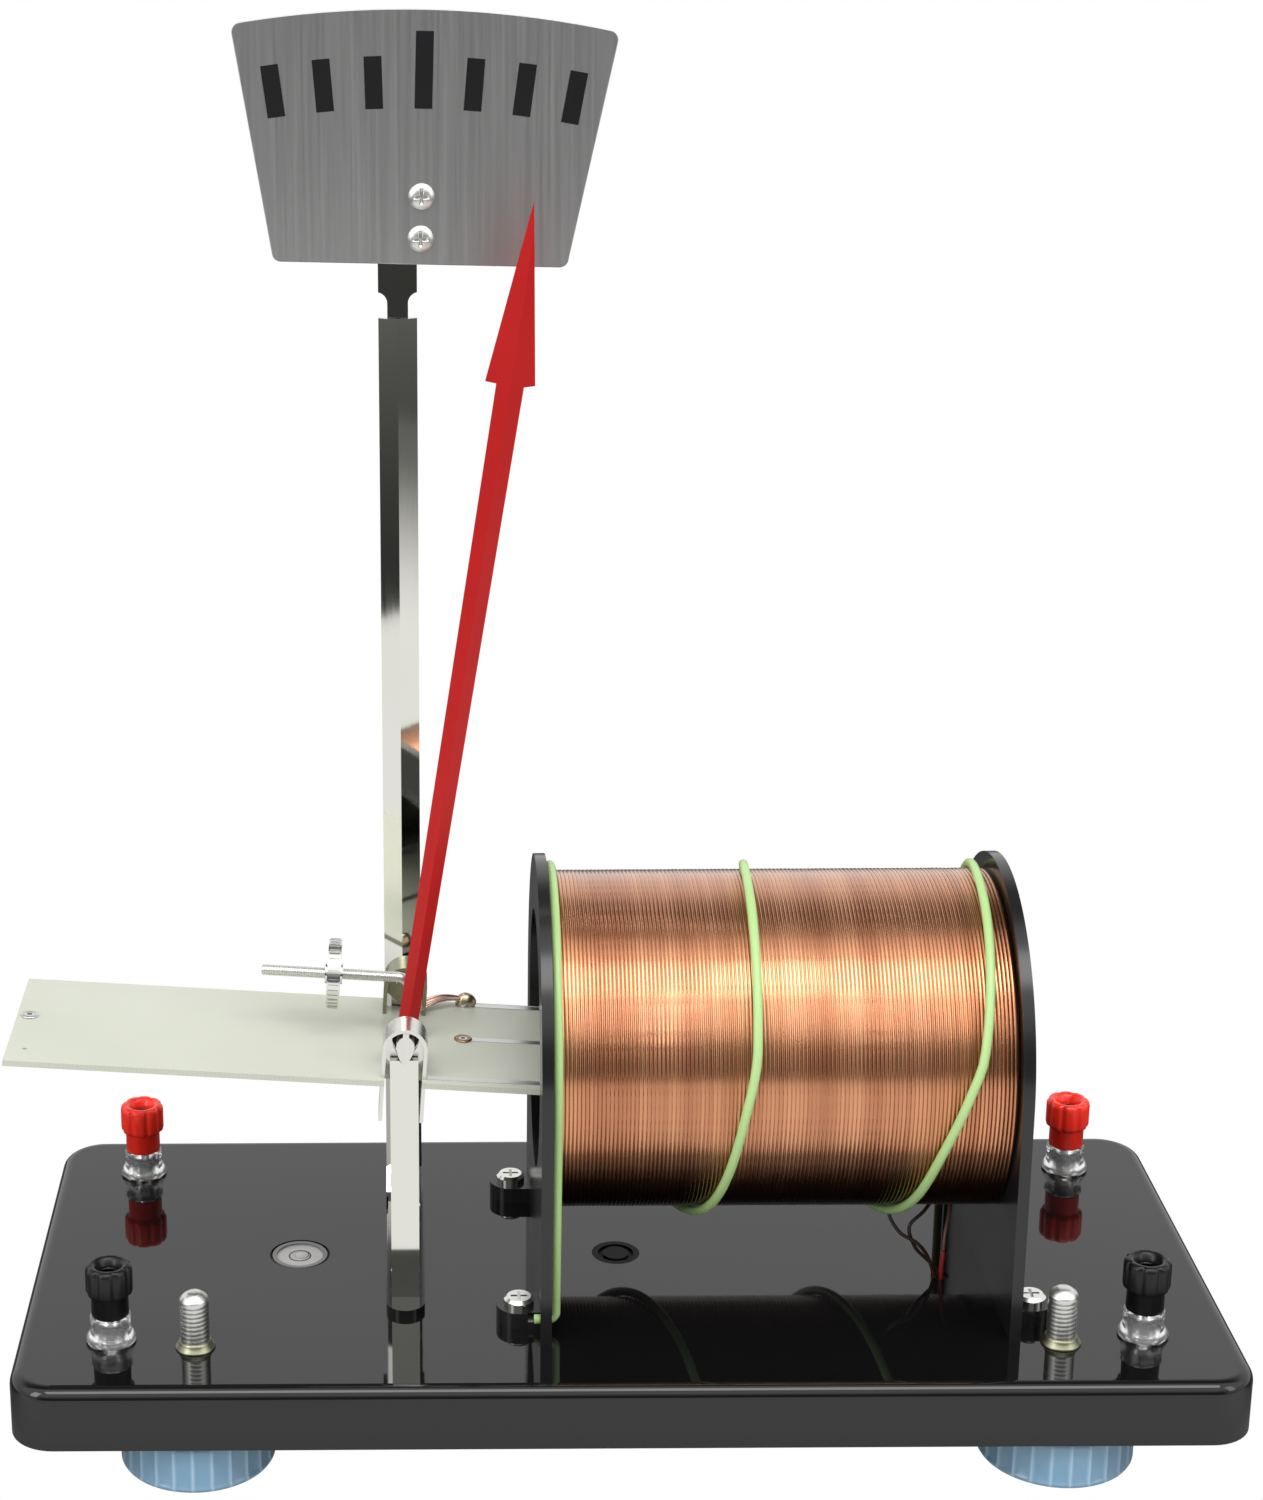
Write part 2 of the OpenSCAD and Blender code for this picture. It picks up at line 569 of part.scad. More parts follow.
module scale_post() color("#b9bab6") difference() {
    union() {
        translate([post_x - post_w / 2, post_y - foot_len - 0.5, bar_seat])
            cube([post_w, foot_len + 0.5 + strip_t, strip_t]);
        translate([post_x, post_y, bar_seat]) rotate([post_lean, 0, 0])
            translate([0, 0, 0.4]) linear_extrude((neck_z - bar_seat) / cos(post_lean) - 0.4)
                polygon([[-post_w / 2, 0], [0, -fold], [post_w / 2, 0], [post_w / 2, strip_t],
                         [0, strip_t - fold], [-post_w / 2, strip_t]]);
        translate([post_x, tab_y + strip_t, neck_z - 0.5]) rotate([90, 0, 0])
            linear_extrude(strip_t) difference() {
                translate([-post_w / 2, 0]) square([post_w, tab_top - neck_z + 0.5]);
                for (s = [-1, 1]) {
                    translate([s * (post_w / 2 - notch_in + notch_r), notch_r + 1.4])
                        circle(notch_r);
                    translate([s < 0 ? -post_w : post_w / 2 - notch_in, 0.5])
                        square([post_w / 2 + notch_in, notch_r + 0.9]);
                }
            }
        translate([post_x - post_w / 2, tab_y, pivot_z + scale_r - 62])
            cube([pad_w, strip_t, tab_top - pivot_z - scale_r + 62]);
    }
    translate([post_x, post_y - 9, bar_seat - 1]) cylinder(r = support_r + 0.1, h = strip_t + 2);
    for (r = scale_screws_r) on_scale(r) rotate([-90, 0, 0])
        cylinder(r = scale_screw_r + 0.1, h = 3 * strip_t + 2);
}
module scale_plate() color("#9b9c9c") difference() {
    on_scale(0) rotate([-90, 0, 0]) linear_extrude(plate_t) difference() {
        intersection() {
            circle(scale_r, $fn = 256);
            polygon([[0, 0], [-scale_r * 1.1 * sin(plate_half), -scale_r * 1.1 * cos(plate_half)],
                     [scale_r * 1.1 * sin(plate_half), -scale_r * 1.1 * cos(plate_half)]]);
        }
        translate([-scale_r, -plate_low_r * cos(plate_half)])
            square([2 * scale_r, 2 * scale_r]);
    }
    for (r = scale_screws_r) on_scale(r) translate([0, -1, 0]) rotate([-90, 0, 0])
        cylinder(r = scale_screw_r + 0.1, h = plate_t + 2);
}
module scale_marks() color("#151516") for (k = [-3 : 3])
    on_scale(0, k * mark_step) translate([-mark_w / 2, -0.12, mark_low])
        cube([mark_w, 0.12, (k == 0 ? mark_high_mid : mark_high) - mark_low]);
module scale_screws() color("#cfcfca") for (r = scale_screws_r) on_scale(r)
    rotate([90, 0, 0]) pan_screw(scale_screw_r, plate_t + strip_t + 3.4, 3.4, 1.9);
module scale_nuts() color("#c4c4be") for (r = scale_screws_r) on_scale(r)
    translate([0, plate_t + strip_t, 0]) rotate([-90, 0, 0])
        hex_nut(5.5, scale_screw_r + seat_fit, 2.4);

// The leads under the base: both supports to the left terminals, the coil to the right ones
lead_r = 0.8;
module lead(a, b) let (m = (a + b) / 2 - [0, 0, 1.2])
    tube([for (i = [0 : 12]) let (t = i / 12)
        (1 - t) * (1 - t) * a + 2 * t * (1 - t) * m + t * t * b], lead_r, [0, 0, 1]);
module internal_leads() color("#7a7a7a") {
    z = base_under - tag_t - lead_r - 0.05;
    to = tag_len - 2;
    for (s = [-1, 1]) lead([pivot_x - to, s * screw_y, z],
        [-term_x, s < 0 ? black_y + to : red_y - to, z]);
    for (k = [0, 1]) lead([lead_hole[0] - 1.1 + 2.2 * k, lead_hole[1], base_under - 4.9],
        [term_x, k == 0 ? black_y + to : red_y - to, z]);
}

module beam_board() color("#dadccf") on_beam() difference() {
    translate([-beam_arm, -board_w / 2, -beam_low]) cube([2 * beam_arm, board_w, board_t]);
    for (s = [-1, 1]) translate([-arch_gap / 2, s < 0 ? -board_w / 2 - 1
            : board_w / 2 - notch_y, -beam_low - 1])
        cube([arch_gap, notch_y + 1, board_t + 2]);
    for (s = [-1, 1], x = [-1, 1]) translate([x * (arch_gap / 2 + arch_t / 2) - arch_t / 2
            - seat_fit, s < 0 ? -arch_y - seat_fit : arch_y - arch_depth - seat_fit,
            -beam_low - 1])
        cube([arch_t + 2 * seat_fit, arch_depth + 2 * seat_fit, board_t + 2]);
    translate([rod_foot, rod_y, -beam_low - 1]) cylinder(r = rod_r + seat_fit, h = 4);
    for (p = eyelet_at) translate([p[0], p[1], -beam_low - 1])
        cylinder(r = 1.1 + seat_fit, h = 4);
    translate([-beam_arm + 4.8, -19.4, -beam_low - 1]) cylinder(r = 0.6, h = 4);
}
eyelet_at = [[-beam_arm + 3.4, 2.4], [16.2, 2.2]];
track_y = [-board_w / 2 + 3.5, 2.2, board_w / 2 - 2];
track_from = [arch_gap / 2 + arch_t + 0.4, 18.4, arch_gap / 2 + arch_t + 13.6];
track_to = beam_arm - 6;
module beam_tracks() color("#c3c7c4") on_beam() translate([0, 0, -board_drop]) union() {
    for (k = [0 : 2]) translate([track_from[k], track_y[k] - track_w / 2, 0])
        cube([track_to - track_from[k], track_w, track_t]);
    translate([track_to - track_w, track_y[0] - track_w / 2, 0])
        cube([track_w, track_y[2] - track_y[0] + track_w, track_t]);
}
module eyelets() color("#c2a06a") on_beam() for (p = eyelet_at)
    translate([p[0], p[1], -beam_low]) difference() {
        union() {
            cylinder(r = 1.1, h = board_t);
            translate([0, 0, board_t]) cylinder(r = 1.9, h = 0.4);
        }
        translate([0, 0, -1]) cylinder(r = 0.7, h = board_t + 3);
    }

arch_crown = knife_h + arch_t;
module arch(s) color("#d9d9d4") on_beam()
    translate([0, s < 0 ? -arch_y + arch_depth : arch_y, 0]) rotate([90, 0, 0])
        linear_extrude(arch_depth) difference() {
            union() {
                translate([0, arch_crown - arch_gap / 2 - arch_t]) circle(arch_gap / 2 + arch_t);
                translate([-arch_gap / 2 - arch_t, -leg_drop])
                    square([arch_gap + 2 * arch_t, leg_drop + arch_crown - arch_gap / 2 - arch_t]);
            }
            translate([0, arch_crown - arch_gap / 2 - arch_t]) circle(arch_gap / 2);
            translate([-arch_gap / 2, -leg_drop - 1])
                square([arch_gap, leg_drop + 1 + arch_crown - arch_gap / 2 - arch_t]);
        }
module knife_edge(s) color("#efefe9") on_beam()
    translate([0, s < 0 ? -arch_y + arch_depth : arch_y, 0]) rotate([90, 0, 0])
        linear_extrude(arch_depth) polygon([[0, 0], [1.1, 1.5], [1.8, 3], [knife_w / 2, 5],
            [knife_w / 2 - 0.2, 6.6], [1.5, 7.8], [0.8, 8.3], [0.8, knife_h - 0.1],
            [-0.8, knife_h - 0.1], [-0.8, 8.3], [-1.5, 7.8], [-knife_w / 2 + 0.2, 6.6],
            [-knife_w / 2, 5], [-1.8, 3], [-1.1, 1.5]]);

module pointer() color("#b3201f") on_beam()
    translate([pointer_root, pointer_y, -board_drop]) rotate([0, pointer_lean, 0])
        intersection() {
            rotate([90, 0, 0]) linear_extrude(8, center = true) polygon([
                [-stem_low_w / 2, 0.3], [stem_low_w / 2, 0.3],
                [stem_high_w / 2, pointer_len], [head_w / 2, pointer_len + 0.6],
                [-1.4, pointer_len + head_len], [-head_w / 2, pointer_len],
                [-stem_high_w / 2, pointer_len]]);
            linear_extrude(pointer_len + head_len + 1) polygon([[-9, 3], [0, 0], [9, 3],
                [9, 3 + sheet_t], [0, sheet_t], [-9, 3 + sheet_t]]);
        }
module balance_rod() color("#c9c9c5") on_beam() translate([0, rod_y, 0]) union() {
    translate([rod_end, 0, rod_up]) rotate([0, 90, 0])
        cylinder(r = rod_r, h = rod_foot - rod_bend - rod_end);
    translate([rod_foot - rod_bend, 0, rod_up - rod_bend]) rotate([90, 0, 0])
        rotate_extrude(angle = 90) translate([rod_bend, 0]) circle(rod_r);
    translate([rod_foot, 0, -beam_low - 1]) cylinder(r = rod_r, h = beam_low + 1 + rod_up - rod_bend);
}
module link_wire() color("#c98f74") on_beam()
    tube([for (i = [0 : 8]) let (t = i / 8) [arch_gap / 2 + arch_t + 0.9 + 8 * t,
        track_y[2] - 5 + 5 * t, -board_drop + 1.1 + 3 * sin(180 * t) * (1 - t)]],
        0.7, [0, 0, 1]);
module solder_joints() color("#b79a6a") on_beam() {
    translate([arch_gap / 2 + arch_t + 11.2, track_y[2], -board_drop]) difference() {
        sphere(2.2);
        translate([-4, -4, -8]) cube([8, 8, 8]);
    }
    translate([rod_foot, rod_y, -board_drop]) difference() {
        cylinder(r1 = rod_r + 1.2, r2 = rod_r + 0.5, h = 1.2);
        translate([0, 0, -1]) cylinder(r = rod_r + seat_fit, h = 4);
    }
    translate([pointer_root - 3.2, pointer_y - 1.25, -board_drop]) cube([6.4, 1.2, 0.9]);
}
module nut_bush() color("#cbb277") on_beam() translate([nut_x - nut_t / 2 - 0.6, rod_y, rod_up])
    rotate([0, 90, 0]) ring(bush_nut_r, rod_r + run_fit, nut_t + 1.2);
module nut_disc() color("#d6d6d2") on_beam() translate([nut_x - nut_t / 2, rod_y, rod_up])
    rotate([0, 90, 0]) difference() {
        union() {
            cylinder(r = nut_d / 2 - 0.35, h = nut_t);
            for (k = [0 : 35]) rotate([0, 0, 10 * k]) translate([nut_d / 2 - 0.8, -0.4, 0.4])
                cube([0.8, 0.8, nut_t - 0.8]);
        }
        translate([0, 0, -1]) cylinder(r = bush_nut_r + run_fit, h = nut_t + 2);
    }

translate([shift_x, 0, 0]) {
    base_shell();
    level_case();
    level_glass();
    blanking_plug();
    levelling_bushes();
    rear_foot();
    rear_foot_screw();
    terminal_collars();
    terminal_stems();
    terminal_nuts();
    terminal_tags();
    cheek(-1);  // left_cheek
    cheek(1);  // right_cheek
    coil_former();
    inner_winding();
    outer_winding();
    green_wire();
    cheek_screws();
    cheek_nuts();
    coil_leads();
    support(-1);  // front_support
    support(1);  // rear_support
    insulating_bar();
    scale_post();
    support_screws();
    support_nuts();
    support_tags();
    scale_plate();
    scale_marks();
    scale_screws();
    scale_nuts();
    internal_leads();
    stud(-1);  // left_stud
    knob(-1);  // left_knob
    stud(1);  // right_stud
    knob(1);  // right_knob
    insert(0);  // insert_black_left
    cap(0);  // cap_black_left
    insert(1);  // insert_red_left
    cap(1);  // cap_red_left
    insert(2);  // insert_black_right
    cap(2);  // cap_black_right
    insert(3);  // insert_red_right
    cap(3);  // cap_red_right
    beam_board();
    beam_tracks();
    eyelets();
    arch(-1);  // front_arch
    knife_edge(-1);  // front_knife_edge
    arch(1);  // rear_arch
    knife_edge(1);  // rear_knife_edge
    pointer();
    balance_rod();
    link_wire();
    solder_joints();
    nut_bush();
    nut_disc();
}
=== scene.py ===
import bpy
import math
import random
from mathutils import Matrix, Vector


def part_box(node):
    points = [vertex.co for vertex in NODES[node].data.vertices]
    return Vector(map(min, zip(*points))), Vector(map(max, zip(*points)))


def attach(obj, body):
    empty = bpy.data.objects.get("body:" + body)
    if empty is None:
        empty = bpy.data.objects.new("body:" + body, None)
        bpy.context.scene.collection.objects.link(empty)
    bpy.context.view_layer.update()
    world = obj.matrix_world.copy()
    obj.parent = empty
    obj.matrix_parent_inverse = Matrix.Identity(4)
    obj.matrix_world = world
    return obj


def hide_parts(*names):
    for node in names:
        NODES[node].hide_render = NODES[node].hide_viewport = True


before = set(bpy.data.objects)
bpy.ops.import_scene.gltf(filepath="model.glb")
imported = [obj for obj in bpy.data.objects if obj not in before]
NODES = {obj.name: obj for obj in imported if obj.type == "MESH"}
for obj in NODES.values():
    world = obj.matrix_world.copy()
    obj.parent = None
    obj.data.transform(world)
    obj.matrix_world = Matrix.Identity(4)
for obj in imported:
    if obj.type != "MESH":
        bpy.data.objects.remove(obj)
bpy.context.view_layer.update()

# Sizes in millimetres, the same as the part's source
MM = 0.001
SHIFT_X = 1.504                     # the middle of the base lies this far right of the origin
BASE_TOP = 31.5
PIVOT = Vector((-58.4 + SHIFT_X, 0.0, BASE_TOP + 68.5))
TILT = math.radians(3.73)
COIL_X0, COIL_X1 = -20.0 + SHIFT_X, 100.0 + SHIFT_X
COIL_Z, COIL_R, FORMER_R = PIVOT.z - 3, 45.5, 37.02
WIRE_R, TURNS, WIRE_FLAT = 0.535, 112, 0.5
GREEN_R, GREEN_Y = 1.25, -42.4
FOOT_X, FOOT_Y, STUD_LOW, STUD_UP = 113.5, -50.0, 3.0, 16.0
STUD_R, BORE_R, STUD_PITCH = 3.9, 3.95, 1.25
KNOB_R, KNOB_TOP, FLUTES = 20.5, 12.9, 25
ROD_R, ROD_PITCH, ROD_LENGTH = 1.5, 0.5, 36.7
ROD_Y, ROD_Z = 2.4, 13.7            # on the beam
SCALE_R, SCALE_LEAN, PLATE_Y, PLATE_T = 268.0, math.radians(1.5), 35.0, 1.0
SCALE_SCREWS = (47.8, 58.8)         # below the outer edge of the scale
BOARD_TOP = -3.5                    # on the beam
EYELETS = ((-102.1, 2.4), (16.2, 2.2))
ARCH_R, ARCH_Z = 4.95, 4.55         # the arches' outer radius, and its centre's height
LEVEL_X, LEVEL_TOP = PIVOT.x - 29.6, BASE_TOP - 0.5
# The photograph's frame and the camera fitted to it, in pixels, degrees and metres
FRAME_W, FRAME_H, FOCAL, CENTRE_X, CENTRE_Y = 1263.0, 1500.0, 2900.0, 420.0, 687.0
PITCH, ROLL = 17.14, -0.30
EYE = (-0.0537 + SHIFT_X * MM, -0.6564 - 0.070, 0.3894 + BASE_TOP * MM)
SENSOR = 36.0
WHITE = (1, 1, 1, 1)


def unit(x):
    """x, held between 0 and 1."""
    return max(0.0, min(1.0, x))


class Sock:
    """A shader value that can be used in sums."""

    def __init__(self, graph, socket):
        self.g, self.s = graph, socket

    def op(self, name, *others):
        return self.g.node("ShaderNodeMath", 0, {"operation": name},
                           dict(enumerate((self,) + others)))

    def __add__(self, o): return self.op("ADD", o)
    def __radd__(self, o): return self.op("ADD", o)
    def __sub__(self, o): return self.op("SUBTRACT", o)
    def __rsub__(self, o): return (self * -1) + o
    def __mul__(self, o): return self.op("MULTIPLY", o)
    def __rmul__(self, o): return self.op("MULTIPLY", o)
    def clamp(self, lo=0.0, hi=1.0): return self.op("MAXIMUM", lo).op("MINIMUM", hi)
    def abs(self): return self.op("ABSOLUTE")
    def sin(self): return self.op("SINE")

    def ramp(self, lo, hi, a=0.0, b=1.0):
        """a below lo, b above hi, and a smooth step between them."""
        return self.g.node("ShaderNodeMapRange", "Result", {"interpolation_type": "SMOOTHSTEP"},
                           Value=self, From_Min=lo, From_Max=hi, To_Min=a, To_Max=b)


class Graph:
    """The nodes of a material or of the world."""

    def __init__(self, tree):
        self.tree = tree
        tree.nodes.clear()

    def put(self, socket, value):
        if isinstance(value, Sock):
            self.tree.links.new(value.s, socket)
        else:
            socket.default_value = value

    def node(self, kind, out=0, settings=(), numbered=(), **named):
        """A node: its settings, then its sockets by number or by name. Returns one output."""
        n = self.tree.nodes.new(kind)
        for k, v in dict(settings).items():
            setattr(n, k, v)
        for k, v in dict(numbered).items():
            self.put(n.inputs[k], v)
        for k, v in named.items():
            self.put(n.inputs[k.replace("_", " ")], v)
        return None if out is None else Sock(self, n.outputs[out])

    def axis(self, k, coordinates="Object"):
        co = self.node("ShaderNodeTexCoord", coordinates)
        return self.node("ShaderNodeSeparateXYZ", k, Vector=co)

    def noise(self, scale, detail=3.0, stretch=(1, 1, 1), rough=0.5):
        co = self.node("ShaderNodeTexCoord", "Object")
        place = self.node("ShaderNodeMapping", Vector=co, Scale=stretch)
        return self.node("ShaderNodeTexNoise", "Fac", Vector=place, Scale=scale, Detail=detail,
                         Roughness=rough)

    def attribute(self, name):
        return self.node("ShaderNodeAttribute", "Fac", {"attribute_name": name})

    def mix(self, f, a, b):
        """The colour a where f is 0 and b where it is 1."""
        a, b = (v if isinstance(v, Sock) else (*v, 1.0) for v in (a, b))
        return self.node("ShaderNodeMix", 2, {"data_type": "RGBA"}, {0: f, 6: a, 7: b})


class Finish(Graph):
    """A material with one Principled shader."""

    def __init__(self, name, colour, rough, metal=0.0, **fixed):
        self.mat = bpy.data.materials.new(name)
        self.mat.use_nodes = True
        self.mat.diffuse_color = (*colour, 1.0)
        super().__init__(self.mat.node_tree)
        shader = self.node("ShaderNodeBsdfPrincipled")
        self.node("ShaderNodeOutputMaterial", None, (), {0: shader})
        self.bsdf = shader.s.node
        self.set("Base Color", (*colour, 1.0))
        self.set("Roughness", rough)
        self.set("Metallic", metal)
        for k, v in fixed.items():
            self.set(k.replace("_", " "), v)

    def set(self, name, value):
        self.put(self.bsdf.inputs[name], value)

    def bump(self, height, depth_mm, strength):
        self.set("Normal", self.node("ShaderNodeBump", Strength=strength,
                                     Distance=depth_mm * MM, Height=height))


def gloss(name, colour, rough, speck=0.03, coat=0.0, shine=0.5):
    """Moulded plastic: a faint waviness, and roughness that handling has made uneven."""
    g = Finish(name, colour, rough, Coat_Weight=coat, Specular_IOR_Level=shine)
    wear = g.noise(35, 5)
    g.set("Roughness", (wear * speck + (rough - speck / 2)).clamp(0.01, 1))
    g.set("Base Color", g.mix(g.noise(12, 2), colour, [c * 1.12 for c in colour]))
    g.bump(g.noise(260, 2), 0.01, 0.25)
    return g


def plated(name, colour, rough, streak=(1, 1, 0.04), grain=700, amount=0.12):
    """Plated or turned metal with a drawn grain along one direction."""
    g = Finish(name, colour, rough, 1.0)
    lines = g.noise(grain, 3, streak)
    cloud = g.noise(22, 4)
    g.set("Roughness", (lines * amount + cloud * amount * 0.8
                        + (rough - amount * 0.8)).clamp(0.03, 1))
    g.set("Base Color", g.mix(cloud, [c * 0.9 for c in colour], colour))
    g.bump(lines, 0.02, 0.15)
    return g


M = {}


def materials():
    """The finishes of the pieces, by the short names that the table of looks uses."""
    M["base"] = gloss("gloss_black_moulding", (0.0045, 0.0045, 0.0048), 0.035, 0.03)
    M["satin"] = gloss("satin_black_moulding", (0.010, 0.010, 0.0105), 0.2, 0.08)
    M["plug"] = gloss("dark_plug", (0.012, 0.011, 0.010), 0.5, 0.06, 0.0, 0.12)
    M["level_rim"] = gloss("level_rim_plastic", (0.16, 0.155, 0.155), 0.3, 0.08)
    M["rubber"] = gloss("rear_foot_rubber", (0.02, 0.02, 0.02), 0.65, 0.1)
    M["blue"] = gloss("pale_blue_moulding", (0.19, 0.335, 0.465), 0.22, 0.08)
    g = M["blue"]
    blue = g.mix(g.noise(12, 2), (0.165, 0.30, 0.42), (0.20, 0.345, 0.475))
    # Painted highlight: the ridges' edges are mixed towards a lighter blue
    g.set("Base Color", g.mix(g.attribute("ridge_highlight") * 0.7, blue, (0.42, 0.60, 0.76)))
    M["black_cap"] = gloss("black_cap_moulding", (0.005, 0.005, 0.005), 0.32, 0.08, 0.0, 0.35)
    M["red_cap"] = gloss("red_cap_moulding", (0.92, 0.028, 0.014), 0.26, 0.08)
    M["lead"] = gloss("grey_lead_cover", (0.12, 0.12, 0.12), 0.45, 0.1)
    M["bar"] = gloss("black_insulating_bar", (0.006, 0.006, 0.0065), 0.12, 0.06)
    M["plated"] = plated("bright_plated_steel", (0.80, 0.80, 0.77), 0.14)
    M["thread"] = plated("threaded_steel", (0.80, 0.80, 0.77), 0.34, (1, 1, 0.2), 500, 0.08)
    M["worn"] = plated("satin_nickel", (0.80, 0.795, 0.745), 0.27, (1, 1, 0.2), 700, 0.08)
    # Darker olive nickel: painted shade and reflection on the rear arch parts; the stud bushes
    # share it
    M["dull_and_shaded"] = plated("dull_nickel_and_painted_shade", (0.34, 0.34, 0.235), 0.36, (1, 1, 0.3), 500, 0.1)
    # Painted shade: a dark sheet that stands for the shaded inside of the front arch
    M["painted_shade"] = plated("painted_shade_inside", (0.05, 0.05, 0.045), 0.5, (1, 1, 1), 500, 0.1)
    M["eyelet"] = plated("brown_eyelet", (0.40, 0.26, 0.15), 0.35, (1, 1, 1), 400, 0.1)
    M["nickel"] = plated("bright_nickel_strip", (0.79, 0.785, 0.72), 0.055, (1, 1, 0.03), 900,
                         0.03)
    M["solder"] = plated("soldered_joint", (0.58, 0.47, 0.33), 0.26, (1, 1, 1), 300, 0.2)
    M["bare"] = plated("pale_copper_wire", (0.86, 0.60, 0.50), 0.28, (1, 1, 1), 200, 0.1)
    M["dark_wire"] = gloss("dark_enamelled_wire", (0.035, 0.020, 0.014), 0.3, 0.1)
    M["red_sleeve"] = gloss("red_wire_sleeve", (0.26, 0.016, 0.02), 0.35, 0.1)
    M["brown_wire"] = gloss("brown_enamelled_wire", (0.17, 0.065, 0.045), 0.3, 0.1)
    M["brass"] = plated("turned_brass", (0.72, 0.55, 0.28), 0.24, (1, 1, 0.1))
    M["tin"] = plated("tinned_copper", (0.70, 0.71, 0.69), 0.3, (0.1, 1, 1), 600, 0.2)
    M["ink"] = gloss("printed_black", (0.006, 0.006, 0.007), 0.35, 0.1)

    # Each turn has its own tone, and the underside, which sees the dark base, is darkened with
    # painted shade
    g = Finish("enamelled_copper", (0.6, 0.3, 0.17), 0.2, 1.0, Coat_Weight=0.9,
               Coat_Roughness=0.2)
    tone, under = g.attribute("tone"), g.attribute("under")
    patch = g.noise(80, 3, (1, 0.3, 0.3))
    copper = g.mix((tone * 0.75 + patch * 0.25).clamp(), (0.44, 0.150, 0.058),
                   (0.74, 0.35, 0.175))
    # Painted shade: the underside is mixed towards dark brown, and loses its coat there
    g.set("Base Color", g.mix(under * 0.92, copper, (0.07, 0.022, 0.010)))
    g.set("Coat Weight", (0.9 - under * 0.85).clamp())
    g.set("Roughness", (g.noise(160, 2) * 0.10 + 0.17).clamp())
    M["copper"] = g

    g = Finish("green_wire_cover", (0.41, 0.62, 0.25), 0.34, Subsurface_Weight=0.05)
    g.set("Base Color", g.mix(g.noise(30, 3), (0.36, 0.57, 0.20), (0.47, 0.67, 0.29)))
    g.set("Roughness", (g.noise(200, 3) * 0.15 + 0.27).clamp())
    M["green"] = g

    g = Finish("brushed_aluminium", (0.55, 0.55, 0.545), 0.33, 1.0)
    lines = g.noise(1500, 3, (1, 1, 0.012), 0.6)
    wide = g.noise(260, 3, (1, 1, 0.03))
    cloud = g.noise(16, 3)
    g.set("Base Color", g.mix((lines * 0.7 + wide * 0.12 + cloud * 0.18).clamp(),
                              (0.62, 0.62, 0.615), (0.80, 0.80, 0.795)))
    g.set("Roughness", (lines * 0.10 + 0.28).clamp())
    g.bump(lines, 0.02, 0.2)
    M["aluminium"] = g

    g = Finish("glass_epoxy_board", (0.66, 0.68, 0.585), 0.3)
    threads = 5200                  # radians of the weave's wave for each metre
    weave = (g.axis(0) * threads).sin() * (g.axis(1) * threads).sin()
    cloud = g.noise(28, 4)
    g.set("Base Color", g.mix((cloud * 0.6 + weave * 0.12 + 0.2).clamp(), (0.465, 0.485, 0.395),
                              (0.565, 0.585, 0.505)))
    g.set("Roughness", (g.noise(90, 3) * 0.06 + 0.36).clamp())
    g.bump(weave, 0.01, 0.2)
    M["epoxy"] = g

    g = Finish("red_pointer_paint", (0.43, 0.011, 0.010), 0.3, Specular_IOR_Level=0.28)
    g.set("Base Color", g.mix(g.noise(40, 3), (0.38, 0.008, 0.008), (0.47, 0.013, 0.012)))
    g.bump(g.noise(420, 3), 0.02, 0.25)
    M["paint"] = g

    g = Finish("clear_collar", (0.96, 0.97, 0.97), 0.08, 0.0, IOR=1.46, Transmission_Weight=0.92)
    g.set("Roughness", (g.noise(80, 2) * 0.08 + 0.05).clamp())
    M["clear"] = g
    g = Finish("level_liquid", (0.78, 0.77, 0.76), 0.08, 0.0, IOR=1.4, Transmission_Weight=0.35)
    g.set("Base Color", g.mix(g.noise(20, 2), (0.62, 0.60, 0.60), (0.78, 0.76, 0.76)))
    M["liquid"] = g


materials()
LOOKS = {
    "base": ["base_shell"], "satin": ["left_cheek", "right_cheek", "coil_former"],
    "plug": ["blanking_plug"], "rubber": ["rear_foot"], "blue": ["left_knob", "right_knob"],
    "plated": ["levelling_bushes", "terminal_stems", "rear_foot_screw", "cheek_screws",
               "cheek_nuts", "support_screws", "support_nuts", "scale_screws", "scale_nuts",
               "left_stud", "right_stud", "balance_rod", "nut_disc", "nut_bush", "eyelets"],
    "level_rim": ["level_case"],
    "nickel": ["front_support", "rear_support", "scale_post"],
    # The rear arch and knife edge are darker than the front: painted shade and reflection
    "worn": ["front_arch", "front_knife_edge"], "dull_and_shaded": ["rear_arch", "rear_knife_edge"],
    "clear": ["terminal_collars"], "liquid": ["level_glass"],
    "brass": ["terminal_nuts", "insert_black_left", "insert_red_left",
              "insert_black_right", "insert_red_right"],
    "tin": ["terminal_tags", "support_tags", "beam_tracks", "solder_joints"],
    "black_cap": ["cap_black_left", "cap_black_right"],
    "red_cap": ["cap_red_left", "cap_red_right"],
    "copper": ["inner_winding", "outer_winding", "coil_leads", "link_wire"],
    "green": ["green_wire"], "lead": ["internal_leads"], "bar": ["insulating_bar"],
    "aluminium": ["scale_plate"], "ink": ["scale_marks"], "epoxy": ["beam_board"],
    "paint": ["pointer"],
}
for key, names in LOOKS.items():
    for n in names:
        me = NODES[n].data
        me.materials.clear()
        me.materials.append(M[key].mat)


def piece(name, verts, faces, key, body, replaces=(), smooth=True, attr=None):
    """A mesh from points in millimetres, riding on a body."""
    me = bpy.data.meshes.new(name)
    me.from_pydata([(v[0] * MM, v[1] * MM, v[2] * MM) for v in verts], [], faces)
    o = bpy.data.objects.new(name, me)
    bpy.context.scene.collection.objects.link(o)
    dress(o, name, key, body, replaces, smooth, attr)


def dress(o, name, key, body, replaces=(), smooth=True, attr=None):
    """Name a finished object, give it its material and set it riding on a body."""
    me = o.data
    o.name = me.name = name
    me.materials.clear()
    me.materials.append(M[key].mat)
    for p in me.polygons:
        p.use_smooth = smooth
    for label, values in (attr or {}).items():
        a = me.attributes.new(label, "FLOAT", "POINT")
        a.data.foreach_set("value", values)
    me.update()
    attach(o, body)
    if replaces:
        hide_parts(*replaces)


